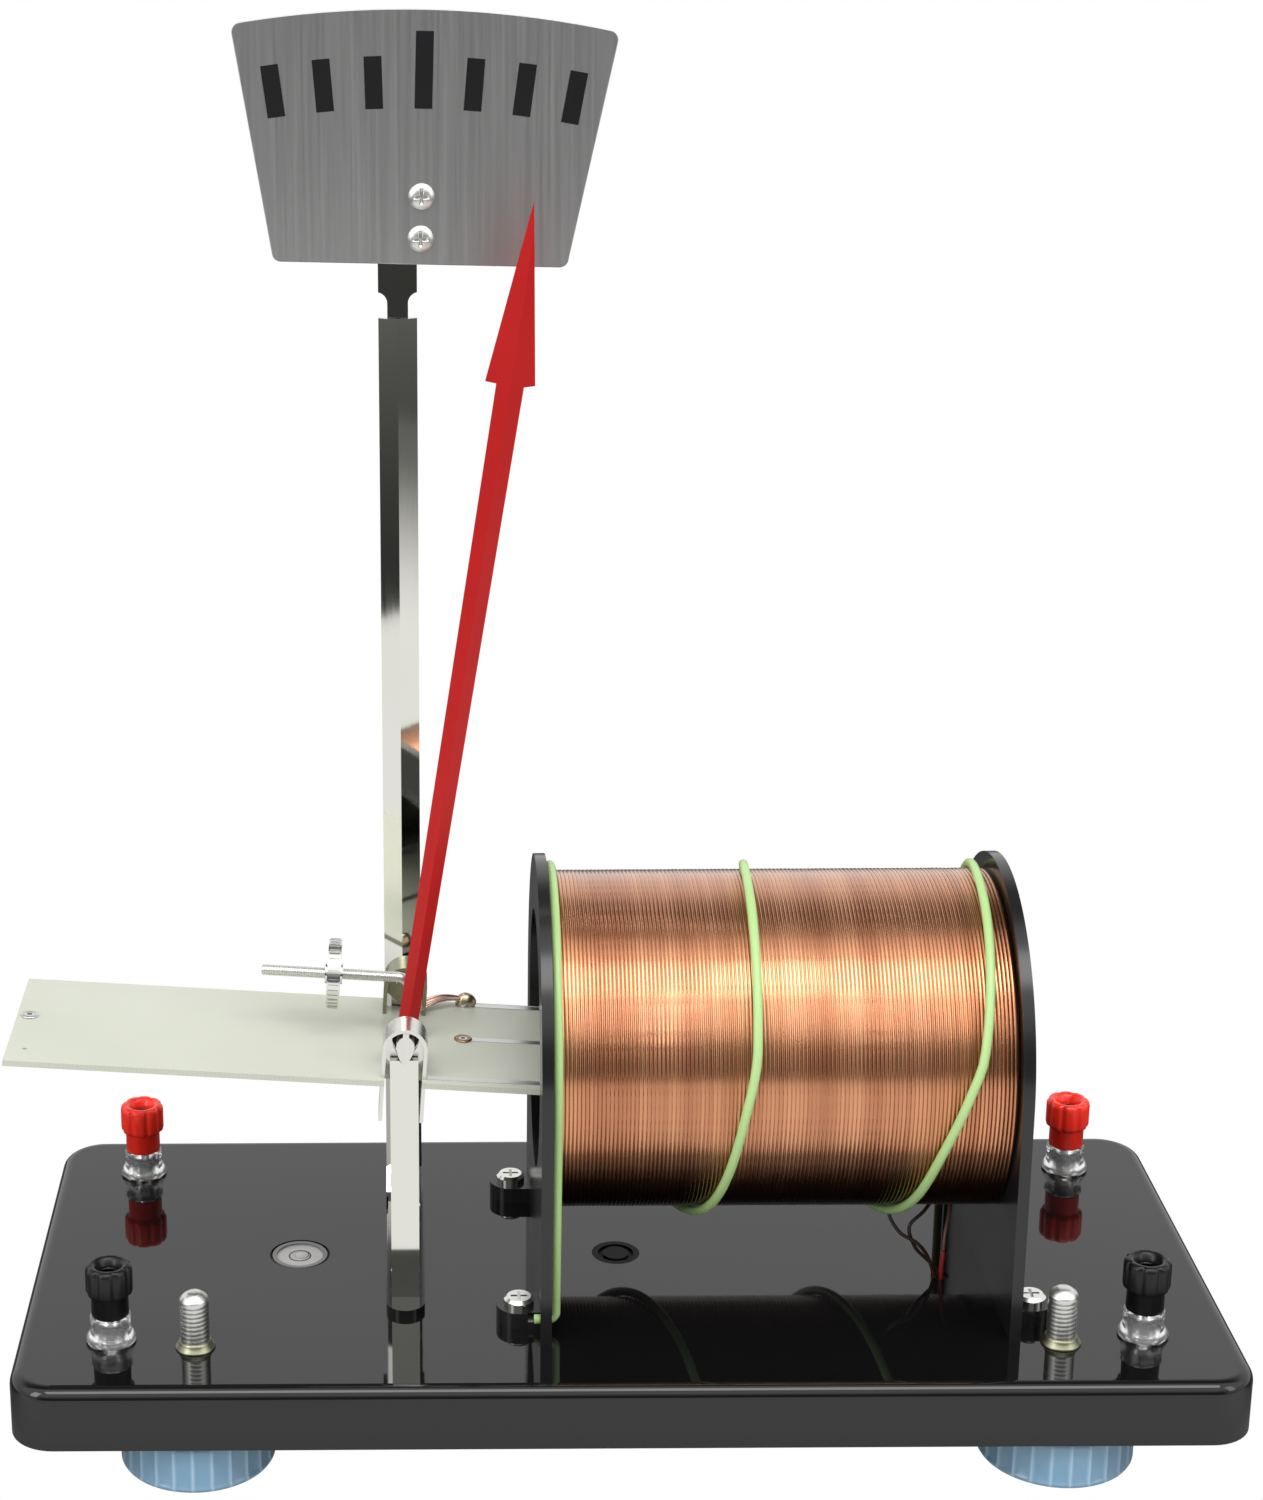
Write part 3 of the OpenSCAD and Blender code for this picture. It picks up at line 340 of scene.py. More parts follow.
def tube(points, radius, sides, first, flat=1.0):
    """Vertices and faces of a wire through points; radius may be one per point, first is the
    direction of the first side, and flat makes the wire thinner across it."""
    verts, faces = [], []
    u = first
    n = len(points)
    for i, p in enumerate(points):
        t = (points[min(i + 1, n - 1)] - points[max(i - 1, 0)]).normalized()
        u = (u - u.dot(t) * t).normalized()
        v = t.cross(u)
        r = radius[i] if isinstance(radius, (list, tuple)) else radius
        for k in range(sides):
            a = 2 * math.pi * k / sides
            verts.append(p + r * (math.cos(a) * u + flat * math.sin(a) * v))
    for i in range(n - 1):
        for k in range(sides):
            a, b = i * sides + k, i * sides + (k + 1) % sides
            faces.append((a, b, b + sides, a + sides))
    faces.append(tuple(reversed(range(sides))))
    faces.append(tuple(range((n - 1) * sides, n * sides)))
    return verts, faces


def joined(parts):
    """Several meshes' vertices and faces as one."""
    verts, faces = [], []
    for v, f in parts:
        n = len(verts)
        verts += v
        faces += [tuple(n + q for q in g) for g in f]
    return verts, faces


def winding():
    """Every turn of the outer layer, each a little uneven, and the sleeve of the layers under
    it.
    "tone" is a turn's own tint, and "under" is the painted shade on what faces the base."""
    rng = random.Random(7)
    end = 0.15                      # room between the last turns and the cheeks
    pitch = (COIL_X1 - COIL_X0 - 2 * end) / TURNS
    path_r = COIL_R - WIRE_R * WIRE_FLAT
    steps, sides = 72, 8
    points, tones, shaded = [], [], []
    wander = [rng.uniform(-0.05, 0.05) for _ in range(TURNS + 2)]
    shade = [0.5 + 0.10 * math.sin(k * 0.37) + rng.uniform(-0.4, 0.4) for k in range(TURNS + 2)]
    radial = [rng.uniform(-0.07, 0.0) for _ in range(TURNS + 2)]
    # The painted shade on the underside: where it starts and how fast it deepens
    dark_from, dark_over = 0.40, 0.40
    for i in range(TURNS * steps + 1):
        turn, part = divmod(i, steps)
        f = part / steps
        a = 2 * math.pi * f
        lean = wander[turn] * (1 - f) + wander[turn + 1] * f
        r = path_r + radial[turn] * (1 - f) + radial[turn + 1] * f
        x = COIL_X0 + end + pitch / 2 + (pitch * (TURNS - 1) / TURNS) * (i / steps) + lean
        points.append(Vector((x, r * math.sin(a), COIL_Z - r * math.cos(a))))
        tones += [unit(shade[turn] * (1 - f) + shade[turn + 1] * f)] * sides
        shaded += [unit((math.cos(a) - dark_from) / dark_over)] * sides
    verts, faces = tube(points, WIRE_R, sides, Vector((1, 0, 0)), WIRE_FLAT)
    piece("winding_outer_layer", verts, faces, "copper", "stand", ("outer_winding",),
          attr={"tone": tones, "under": shaded})

    sleeve, faces = [], []
    sleeve_r, rows = path_r + 0.05, 96
    for x in (COIL_X0 + 0.2, COIL_X1 - 0.2):
        for r in (FORMER_R, sleeve_r):
            for k in range(rows):
                a = 2 * math.pi * k / rows
                sleeve.append((x, r * math.sin(a), COIL_Z + r * math.cos(a)))
    li, lo, ri, ro = 0, rows, 2 * rows, 3 * rows
    for k in range(rows):
        k2 = (k + 1) % rows
        faces += [(ro + k, ro + k2, lo + k2, lo + k), (ri + k2, ri + k, li + k, li + k2),
                  (lo + k, lo + k2, li + k2, li + k), (ro + k2, ro + k, ri + k, ri + k2)]
    # The sleeve gets the same painted shade underneath
    piece("winding_inner_layers", sleeve, faces, "copper", "stand", ("inner_winding",),
          attr={"tone": [0.3] * len(sleeve),
                "under": [unit(((COIL_Z - q[2]) / sleeve_r - dark_from) / dark_over)
                          for q in sleeve]})


winding()

# Where the green wire lies along the winding, by the angle that it has gone round
GREEN_AT = [(0, COIL_X0 + 1.3), (150, COIL_X0 + 1.5), (311, COIL_X0 + 40.6),
            (366, COIL_X0 + 49.3), (389, COIL_X0 + 52.4), (460, COIL_X0 + 53.3),
            (679, COIL_X1 - 25.2), (710, COIL_X1 - 19.5), (733, COIL_X1 - 13.1),
            (746, COIL_X1 - 9.5), (782, COIL_X1 - 6.4), (820, COIL_X1 - 4.9),
            (890, COIL_X1 - 1.5), (960, COIL_X1 - 1.35)]


def smooth_lookup(table, x):
    """A monotone cubic through the table."""
    for k in range(len(table) - 1):
        if x <= table[k + 1][0]:
            break
    (x0, y0), (x1, y1) = table[k], table[k + 1]
    d = (y1 - y0) / (x1 - x0)

    def slope(j):
        if j <= 0 or j >= len(table) - 1:
            return 0.0
        a = (table[j][1] - table[j - 1][1]) / (table[j][0] - table[j - 1][0])
        b = (table[j + 1][1] - table[j][1]) / (table[j + 1][0] - table[j][0])
        return 0.0 if a * b <= 0 else 2 * a * b / (a + b)
    m0, m1 = slope(k) * (x1 - x0), slope(k + 1) * (x1 - x0)
    t = (x - x0) / (x1 - x0)
    return (y0 * (1 + 2 * t) * (1 - t) ** 2 + m0 * t * (1 - t) ** 2
            + y1 * t * t * (3 - 2 * t) - m1 * t * t * (1 - t))


def green_wire():
    """The green wire: out of the front lug, up beside the left cheek, about two and a half
    turns round the winding by GREEN_AT, and down into the base behind."""
    r = COIL_R + GREEN_R + 0.02
    leave, bend_r = 99.5, 2.1       # degrees from the top where it meets the winding
    foot = Vector((COIL_X0 - 4.4, GREEN_Y, BASE_TOP + 3.25))
    rise_x = COIL_X0 + 1.3
    points = [foot + Vector((d, 0, 0)) for d in (0, 1.2, 2.4, 3.4)]
    centre = Vector((COIL_X0 - 0.8, foot.y, foot.z + bend_r))
    for i in range(1, 8):
        w = math.radians(90 * i / 8)
        points.append(centre + bend_r * Vector((math.sin(w), 0, -math.cos(w))))
    low = Vector((rise_x, foot.y, foot.z + bend_r))
    start = Vector((rise_x, -r * math.sin(math.radians(leave)),
                    COIL_Z + r * math.cos(math.radians(leave))))
    points += [low.lerp(start, i / 12) for i in range(12)]
    for a in range(0, int(720 + 2 * leave) + 1, 4):
        w = math.radians(leave - a)
        points.append(Vector((smooth_lookup(GREEN_AT, a), -r * math.sin(w),
                              COIL_Z + r * math.cos(w))))
    end, inside = points[-1], BASE_TOP - 2.5
    for t in (0.15, 0.3, 0.5, 0.7, 0.9, 1.0):
        points.append(Vector((end.x, end.y, end.z + (inside - end.z) * t)))
    verts, faces = tube(points, GREEN_R, 14, Vector((0, 1, 0)))
    piece("green_tracer_wire", verts, faces, "green", "stand", ("green_wire",))


green_wire()


def on_beam(x, y, z):
    """A point of the beam at rest; x runs along the board from the knife edges."""
    c, t = math.cos(TILT), math.sin(TILT)
    return Vector((PIVOT.x + x * c + z * t, y, PIVOT.z - x * t + z * c))


def threaded(name, start, axis, length, radius, pitch, body, replaces, sides, per_turn,
             dome, first, deep, more=()):
    """A threaded rod with a rounded far end. deep is the thread's depth for its pitch, and
    more holds other meshes of the same piece."""
    depth = deep * pitch
    u = (first - first.dot(axis) * axis).normalized()
    v = axis.cross(u)
    rings = int(length / pitch * per_turn)
    verts, faces = [], []
    for i in range(rings + 1):
        z = length * i / rings
        for k in range(sides):
            a = 2 * math.pi * k / sides
            crest = abs(2 * ((z / pitch - k / sides) % 1.0) - 1)
            rad = (radius - depth * unit((crest - 0.3) / 0.6)
                   - 0.9 * dome * max(0.0, 1 - (length - z) / dome) ** 2)
            verts.append(start + z * axis + rad * (math.cos(a) * u + math.sin(a) * v))
    for i in range(rings):
        for k in range(sides):
            a, b = i * sides + k, i * sides + (k + 1) % sides
            faces.append((a, b, b + sides, a + sides))
    faces.append(tuple(reversed(range(sides))))
    faces.append(tuple(range(rings * sides, (rings + 1) * sides)))
    verts, faces = joined([(verts, faces), *more])
    piece(name, verts, faces, "thread", body, replaces)


def studs():
    """The levelling studs, whose threads are nearly lost in their shine."""
    for side, sign in (("left", -1), ("right", 1)):
        threaded("threaded_stud_" + side, Vector((sign * FOOT_X + SHIFT_X, FOOT_Y, STUD_LOW)),
                 Vector((0, 0, 1)), BASE_TOP + STUD_UP - STUD_LOW, STUD_R, STUD_PITCH,
                 side + "_levelling_stud", (side + "_stud",), 36, 8, 2.4,
                 Vector((1, 0, 0)), 0.045)


def rod():
    """The balance rod: threaded along the board, bent down smooth at the knife edges."""
    along = (on_beam(1, 0, 0) - on_beam(0, 0, 0)).normalized()
    up = (on_beam(0, 0, 1) - on_beam(0, 0, 0)).normalized()
    bend_x, bend_r = -2.8, 4
    bend = [on_beam(bend_x - 0.2, ROD_Y, ROD_Z)]
    for i in range(13):
        w = math.radians(90 * i / 12)
        bend.append(on_beam(bend_x, ROD_Y, ROD_Z - bend_r)
                    + bend_r * (math.sin(w) * along + math.cos(w) * up))
    bend += [on_beam(1.2, ROD_Y, z) for z in (6, 2, -2, -6.1)]
    threaded("threaded_balance_rod", on_beam(bend_x - 0.1, ROD_Y, ROD_Z), -along, ROD_LENGTH,
             ROD_R, ROD_PITCH, "beam", ("balance_rod",), 20, 6, 0.5, up, 0.5,
             [tube(bend, 1.42, 20, up)])


studs()
rod()


def turned(points, origin, sides, wave=None):
    """A shape turned round z: its (radius, height, share of the wave) profile is drawn
    by extruding one vertex from point to point, and then spun."""
    profile = [origin + Vector((r, 0, z)) for r, z, share in points]
    if points[0][0] > 0 and points[-1][0] > 0:
        profile.append(profile[0])
    bpy.ops.object.select_all(action="DESELECT")
    bpy.ops.mesh.primitive_plane_add(size=MM, location=(0, 0, 0))
    o = bpy.context.object
    bpy.ops.object.mode_set(mode="EDIT")
    bpy.ops.mesh.merge(type="CENTER")
    bpy.ops.transform.translate(value=profile[0] * MM)
    for p, q in zip(profile, profile[1:]):
        bpy.ops.mesh.extrude_vertices_move(TRANSFORM_OT_translate={"value": (q - p) * MM})
    bpy.ops.mesh.select_all(action="SELECT")
    bpy.ops.mesh.spin(steps=sides, angle=2 * math.pi, center=origin * MM, axis=(0, 0, 1))
    bpy.ops.mesh.select_all(action="SELECT")
    bpy.ops.mesh.remove_doubles(threshold=0.001 * MM)
    bpy.ops.mesh.normals_make_consistent(inside=False)
    bpy.ops.object.mode_set(mode="OBJECT")
    if wave:
        # The flutes or lobes: each vertex moves in by its share of the wave at its angle
        for v in o.data.vertices:
            q = v.co / MM - origin
            reach = math.hypot(q.x, q.y)
            share = min(points, key=lambda p: abs(p[0] - reach) + abs(p[1] - q.z))[2]
            if share:
                keep = 1 - share * wave(math.atan2(q.y, q.x)) / reach
                v.co = (origin + Vector((q.x * keep, q.y * keep, q.z))) * MM
    return o


def one_object(objects):
    """Several objects joined into the first."""
    bpy.ops.object.select_all(action="DESELECT")
    for o in objects:
        o.select_set(True)
    bpy.context.view_layer.objects.active = objects[0]
    bpy.ops.object.join()
    return objects[0]


def knobs():
    """Levelling knobs: a disc with shallow flutes between narrow ridges, and a plain rim.
    The attribute that is 1 on the ridges gives their edges a painted highlight, a lighter blue."""
    r, top, floor = KNOB_R, KNOB_TOP, 2.8
    profile = [
        (0, 0, 0), (r - 1.6, 0, 0), (r - 0.5, 0.35, 0), (r - 0.1, 1.0, 0), (r, 1.5, 0.3),
        (r, 2.0, 1), (r, top - 1.5, 1), (r - 0.5, top - 0.5, 0.7), (r - 1.4, top, 0.2),
        (BORE_R, top, 0), (BORE_R, floor, 0), (0, floor, 0)]

    def around(a):
        return a * FLUTES / (2 * math.pi) + 0.25

    def flute(a):
        return 0.85 * math.sin(math.pi * (around(a) % 1.0)) ** 0.35
    for side, sign in (("left", -1), ("right", 1)):
        middle = Vector((sign * FOOT_X + SHIFT_X, FOOT_Y, 0))
        o = turned(profile, middle, 12 * FLUTES, flute)
        ridge_highlight = []
        for v in o.data.vertices:
            q = v.co / MM - middle
            t = around(math.atan2(q.y, q.x))
            ridge_highlight.append(max(0.0, 1 - 2.4 * abs(math.sin(math.pi * t))))
        dress(o, "fluted_knob_" + side, "blue", side + "_levelling_knob",
              (side + "_knob",), attr={"ridge_highlight": ridge_highlight})


def bushes():
    """The two stud bushes, each with a flared collar on the top of the base."""
    low, bush_r = 16.3 - BASE_TOP, 5.1
    profile = [(BORE_R, low, 0), (bush_r, low, 0), (bush_r, 0.01, 0), (5.2, 0.02, 0),
               (5.3, 0.25, 0), (5.1, 0.6, 0), (4.6, 1.1, 0), (4.3, 1.8, 0), (4.12, 2.35, 0),
               (BORE_R, 2.4, 0)]
    o = one_object([turned(profile, Vector((sign * FOOT_X + SHIFT_X, FOOT_Y, BASE_TOP)), 64)
                    for sign in (-1, 1)])
    dress(o, "flared_stud_bushes", "dull_and_shaded", "stand", ("levelling_bushes",))


def terminals():
    """Clear flared collars, and caps with a lobed grip over a narrower neck."""
    def lobe(a):
        """The eight narrow grooves between the lobes."""
        t = (a * 8 / (2 * math.pi) + 0.1) % 1.0
        return 0.7 * math.exp(-((t - 0.5) / 0.14) ** 2)
    collar = [(3.02, 0.02, 0), (6.1, 0.02, 0), (6.55, 0.3, 0), (6.65, 0.9, 0), (6.35, 1.6, 0),
              (5.7, 2.5, 0), (5.3, 3.8, 0), (5.3, 6.3, 0), (5.5, 7.0, 0), (5.2, 7.4, 0),
              (3.02, 7.4, 0)]
    cap = [(4.1, 0, 0), (4.75, 0, 0), (4.95, 0.3, 0), (4.9, 5.5, 0), (5.2, 5.9, 0.2),
           (6.0, 6.5, 0.9), (6.2, 7.2, 1), (6.2, 12.8, 1), (6.05, 13.6, 1), (5.6, 14.2, 0.8),
           (4.9, 14.4, 0.2), (4.2, 14.35, 0), (3.6, 13.9, 0), (3.2, 13.2, 0), (2.7, 12.4, 0),
           (2.55, 11.6, 0), (3.3, 11.6, 0), (3.3, 6.0, 0), (4.1, 6.0, 0)]
    collars = []
    for name in ("black_left", "red_left", "black_right", "red_right"):
        low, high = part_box("cap_" + name)
        at = (low + high) / (2 * MM)
        collars.append(turned(collar, Vector((at.x, at.y, BASE_TOP)), 56))
        o = turned(cap, Vector((at.x, at.y, low.z / MM)), 96, lobe)
        colour = name.split("_")[0]
        dress(o, "lobed_cap_" + name, colour + "_cap", name + "_terminal_cap",
              ("cap_" + name,))
    dress(one_object(collars), "flared_collars", "clear", "stand",
          ("terminal_collars",))


def scale_heads():
    """The scale's two screws: low domes with a cross recess, and their shanks."""
    c, t = math.cos(SCALE_LEAN), math.sin(SCALE_LEAN)
    sides, head, high = 72, 3.4, 1.85
    arm, half, slope, deep = 1.9, 0.42, 0.16, 0.9       # of the cross recess
    shank = [1.5, 1.5, 1.5, 1.2]
    radii = [3.38, head, 3.3, 3.1, 2.8, 2.45, 2.1, 1.8, 1.5, 1.25, 1.0, 0.8, 0.6, 0.4, 0.2]
    parts = []
    for below in SCALE_SCREWS:
        along = SCALE_R - below
        x0, z0 = PIVOT.x + along * t, PIVOT.z + along * c
        verts, faces = [], []
        for i, r in enumerate(radii):
            for k in range(sides):
                a = 2 * math.pi * k / sides + 0.7
                u, v = r * math.cos(a), r * math.sin(a)
                h = 0.0 if i == 0 else high * (1 - (r / head) ** 2) ** 0.5 * 0.75 + 0.3
                cross = min(max(abs(u) - half, abs(v) - arm), max(abs(v) - half, abs(u) - arm))
                h -= deep * unit(-cross / slope) if i > 2 else 0.0
                verts.append(Vector((x0 + u, PLATE_Y - h, z0 + v)))
        for i in range(len(radii) - 1):
            for k in range(sides):
                a, b = i * sides + k, i * sides + (k + 1) % sides
                faces.append((a, b, b + sides, a + sides))
        faces.append(tuple((len(radii) - 1) * sides + k for k in range(sides)))
        faces.append(tuple(reversed(range(sides))))
        parts.append((verts, faces))
        parts.append(tube([Vector((x0, PLATE_Y - 0.1 + d, z0)) for d in (0, 2.8, 5.6, 5.9)],
                          shank, 24, Vector((1, 0, 0))))
    v, f = joined(parts)
    piece("domed_scale_screws", v, f, "thread", "stand", ("scale_screws",))


knobs()
bushes()
terminals()
scale_heads()


def slab(outline, place, thick, bevel):
    """A flat plate: an outline filled, extruded to its thickness, its edges slightly broken."""
    bpy.ops.object.select_all(action="DESELECT")
    bpy.ops.mesh.primitive_circle_add(vertices=len(outline), radius=MM, fill_type="NGON",
                                      location=(0, 0, 0))
    o = bpy.context.object
    for v, (x, y) in zip(o.data.vertices, outline):
        v.co = place(x, y, 0.0) * MM
    through = (place(0, 0, thick) - place(0, 0, 0)) * MM
    bpy.ops.object.mode_set(mode="EDIT")
    bpy.ops.mesh.select_mode(type="EDGE")
    bpy.ops.mesh.select_all(action="SELECT")
    bpy.ops.mesh.extrude_region_move(TRANSFORM_OT_translate={"value": through})
    bpy.ops.mesh.select_all(action="SELECT")
    bpy.ops.mesh.normals_make_consistent(inside=False)
    bpy.ops.mesh.select_all(action="DESELECT")
    bpy.ops.object.mode_set(mode="OBJECT")
    for e in o.data.edges:
        a, b = (o.data.vertices[k].co for k in e.vertices)
        e.select = abs((a - b).dot(through.normalized())) < 0.5 * through.length
    bpy.ops.object.mode_set(mode="EDIT")
    bpy.ops.mesh.bevel(offset=bevel * MM, segments=1)
    bpy.ops.mesh.select_mode(type="VERT")
    bpy.ops.object.mode_set(mode="OBJECT")
    return o


def rounded(corners, radius):
    """A polygon's points with each marked corner rounded."""
    steps = 6
    out = []
    n = len(corners)
    for k, (p, is_round) in enumerate(corners):
        p = Vector(p)
        if not is_round:
            out.append(tuple(p))
            continue
        a = (Vector(corners[k - 1][0]) - p).normalized()
        b = (Vector(corners[(k + 1) % n][0]) - p).normalized()
        half = math.acos(max(-1.0, min(1.0, a.dot(b)))) / 2
        centre = p + (a + b).normalized() * (radius / math.sin(half))
        p0, p1 = p + a * radius / math.tan(half), p + b * radius / math.tan(half)
        a0 = math.atan2(p0.y - centre.y, p0.x - centre.x)
        a1 = math.atan2(p1.y - centre.y, p1.x - centre.x)
        turn = (a1 - a0 + math.pi) % (2 * math.pi) - math.pi
        for i in range(steps + 1):
            w = a0 + turn * i / steps
            out.append((centre.x + radius * math.cos(w), centre.y + radius * math.sin(w)))
    return out


def scale_plate():
    """A sector of a ring with a straight lower edge and rounded corners. The two points next
    to the upper corners are left out, to make room for their rounding."""
    half, arc = math.radians(10.8), 40
    low = (SCALE_R - 62) * math.cos(half)
    corners = [((low * math.tan(-half), low), True), ((low * math.tan(half), low), True)]
    for i in range(arc + 1):
        w = half - 2 * half * i / arc
        corners.append(((SCALE_R * math.sin(w), SCALE_R * math.cos(w)), i in (0, arc)))
    corners = [corner for k, corner in enumerate(corners) if k not in (3, arc + 1)]
    c, t = math.cos(SCALE_LEAN), math.sin(SCALE_LEAN)

    def place(u, v, d):
        return Vector((PIVOT.x + u * c + v * t, PLATE_Y + d, PIVOT.z - u * t + v * c))
    dress(slab(rounded(corners, 2.4), place, PLATE_T, 0.2), "scale_plate_with_round_corners",
          "aluminium", "stand", ("scale_plate",), False)


scale_plate()


def arch_webs():
    """The turned-in lip of each arch, with the opening that the knife edge shows in, and the
    dark wall of painted shade that is seen through the front one."""
    hole = [(0, -0.6), (1.0, 0.9), (2.1, 2.4), (3.0, 4.2), (3.55, 6.0), (3.7, 7.6), (3.4, 8.7),
            (2.5, 9.25)]
    inner = hole + [(-x, z) for x, z in reversed(hole[1:])]
    n, lowest, lip_t = len(inner), -3.4, 1.0
    outer = []
    for x, z in inner:
        if z < ARCH_Z:
            outer.append((math.copysign(ARCH_R, x) if x else 0.0, z if x else lowest))
        else:
            w = math.atan2(z - ARCH_Z, x)
            outer.append((ARCH_R * math.cos(w), ARCH_Z + ARCH_R * math.sin(w)))
    # The rear lip takes the darker nickel: painted shade and reflection
    for side, y0, key in (("front", -22.4, "worn"), ("rear", 21.4, "dull_and_shaded")):
        verts, faces = [], []
        for y in (y0, y0 + lip_t):
            for loop in (inner, outer):
                verts += [on_beam(x, y, z) for x, z in loop]
        for k in range(n):
            j = (k + 1) % n
            faces += [(n + k, n + j, j, k), (3 * n + j, 3 * n + k, 2 * n + k, 2 * n + j),
                      (2 * n + j, 2 * n + k, k, j), (3 * n + k, 3 * n + j, n + j, n + k)]
        piece("arch_lip_" + side, verts, faces, key, "beam", (), False)
    # A dark sheet of painted shade, set behind the front lip's opening
    wall, larger, about = [], 1.08, 4.5
    for y in (-19.4, -19.0):
        wall += [on_beam(x * larger, y, about + (z - about) * larger) for x, z in inner]
    faces = [tuple(range(n)), tuple(reversed(range(n, 2 * n)))]
    faces += [(n + k, n + (k + 1) % n, (k + 1) % n, k) for k in range(n)]
    piece("arch_painted_shade_wall", wall, faces, "painted_shade", "beam", (), False)


arch_webs()


def bead(name, centre, size, seed):
    """A lumpy bead of solder on the beam, flattened where it sits."""
    dice = random.Random(seed)
    lumps = [(Vector((dice.gauss(0, 1), dice.gauss(0, 1), dice.gauss(0, 1))).normalized(),
              dice.uniform(-0.16, 0.14)) for _ in range(9)]
    bpy.ops.object.select_all(action="DESELECT")
    bpy.ops.mesh.primitive_uv_sphere_add(segments=20, ring_count=10, radius=1,
                                         location=(0, 0, 0))
    o = bpy.context.object
    for v in o.data.vertices:
        d = v.co.copy()
        r = 1 + sum(w * max(0.0, d.dot(q)) ** 3 for q, w in lumps)
        reach = Vector((d.x * size[0], d.y * size[1], max(-0.25, d.z) * size[2]))
        v.co = (centre + reach * r) * MM
    dress(o, name, "solder", "beam")


def link():
    """The pale stranded link from the rod's foot to the rear track, and its solder."""
    start, end = on_beam(4.6, 19.0, -1.9), on_beam(16.4, 25.3, -1.6)
    dice = random.Random(4)
    strands = []
    for k in range(-3, 4):
        off = Vector((0, k / 3 * 0.9, dice.uniform(-0.3, 0.5)))
        points = []
        for i in range(9):
            t = i / 8
            points.append(start.lerp(end, t) + off * (1 - t) * 1.9 + off * 0.45 * t
                          + Vector((0, 0, 1.3 * math.sin(math.pi * t))))
        strands.append(tube(points, 0.42, 6, Vector((0, 0, 1))))
    verts, faces = joined(strands)
    piece("stranded_link", verts, faces, "bare", "beam", ("link_wire",))
    bead("solder_on_rear_track", on_beam(17.2, 25.4, -2.5), (2.8, 2.1, 2.5), 3)
    bead("solder_at_pointer", on_beam(0.2, -2.1, -2.9), (3.4, 1.0, 1.1), 8)


link()


def rims():
    """Rolled rims of the two eyelets: a pale one at the free end, a brown one by the track."""
    ring = [(0.72, 0, 0), (2.3, 0, 0), (2.5, 0.12, 0), (2.35, 0.4, 0), (1.7, 0.52, 0),
            (1.1, 0.42, 0), (0.72, 0.15, 0)]
    for name, (x, y), key in (("free_end", EYELETS[0], "tin"), ("track", EYELETS[1], "eyelet")):
        o = turned(ring, Vector((x, y, BOARD_TOP)), 40)
        for v in o.data.vertices:
            v.co = on_beam(*(v.co / MM)) * MM
        dress(o, "eyelet_rim_" + name, key, "beam")


rims()


def curve_through(knots):
    """A smooth curve through the knots, in six steps between each two."""
    points = []
    for i in range(len(knots) - 1):
        p0, p1, p2, p3 = (knots[max(0, min(len(knots) - 1, i + k))] for k in (-1, 0, 1, 2))
        for j in range(6):
            t = j / 6
            points.append(0.5 * (2 * p1 + (p2 - p0) * t + (2 * p0 - 5 * p1 + 4 * p2 - p3) * t * t
                                 + (3 * p1 - p0 - 3 * p2 + p3) * t ** 3))
    return points + [knots[-1]]


def wires_under_coil():
    """Where the winding's two ends drop to the base: loops of bare wire and a red sleeve."""
    hole_x, wire_r, sleeve_r = COIL_X1 - 12, 0.5, 0.75
    runs = [
        ([(-1.6, -9, 21.2), (-5, -12, 18.4), (-9, -14, 15.0), (-7.5, -15, 9.5), (-4, -14.6, 5.4),
          (-1.4, -14.2, 2.4), (-0.4, -14, -3)], "dark_wire", wire_r),
        ([(-1.6, -7, 21.0), (-8.5, -10, 20.2), (-14.5, -13, 19.2), (-12, -15.5, 14.2),
          (-7, -16.2, 11.0), (-3.6, -15.4, 6.0), (-0.8, -14.6, -3)], "dark_wire", wire_r),
        ([(3.6, -6, 19.6), (2.6, -9, 15.4), (1.4, -11.5, 11.2), (0.8, -13.2, 7.0)],
         "brown_wire", wire_r),
        ([(0.85, -13.1, 6.6), (0.6, -13.6, 4.6), (0.4, -13.9, 2.2), (0.3, -14, -3)],
         "red_sleeve", sleeve_r)]
    for n, (way, key, r) in enumerate(runs):
        points = curve_through([Vector((hole_x + x, y, BASE_TOP + z)) for x, y, z in way])
        v, f = tube(points, r, 10, Vector((0, 1, 0)))
        piece("coil_lead_%d" % (n + 1), v, f, key, "stand",
              ("coil_leads",) if n == 0 else ())


wires_under_coil()


def level_marks():
    """The printed ring of the level and the bubble under its disc."""
    ring = [(2.75, 0.03, 0), (3.15, 0.03, 0), (3.15, 0.005, 0), (2.75, 0.005, 0)]
    dress(turned(ring, Vector((LEVEL_X, 0, LEVEL_TOP)), 48), "level_ring", "ink", "stand")
    bubble = [(0, 0.45, 0), (1.0, 0.38, 0), (1.7, 0.2, 0), (2.1, 0.02, 0), (0, 0.02, 0)]
    dress(turned(bubble, Vector((LEVEL_X + 0.5, 0.3, LEVEL_TOP)), 32), "level_bubble", "liquid",
          "stand")


level_marks()


def surroundings():
    """The world: behind the object a white backdrop up to mid height, and in front a dark
    room with a bright ceiling and bright sides. The camera itself sees plain white."""
    world = bpy.data.worlds.new("studio")
    bpy.context.scene.world = world
    world.use_nodes = True
    g = Graph(world.node_tree)
    x, y, z = (g.axis(k, "Generated") for k in range(3))
    back = y.ramp(-0.02, 0.20)
    backdrop = z.ramp(0.55, 0.85, 1.0, 0.12)
    ceiling = z.ramp(0.22, 0.62, 0.0, 1.15)
    room = z.ramp(-0.30, 0.30, 0.03, 0.12)
    sides = x.abs().ramp(0.45, 0.80, 0.0, 0.75) * z.ramp(-0.35, 0.10)
    front = (room + ceiling + sides).clamp(0, 1.3)
    amount = back * backdrop + (1.0 - back) * front
    seen = g.node("ShaderNodeLightPath", "Is Camera Ray")
    light = g.node("ShaderNodeBackground", 0, (), {0: WHITE, 1: seen * (1.0 - amount) + amount})
    g.node("ShaderNodeOutputWorld", None, (), {0: light})


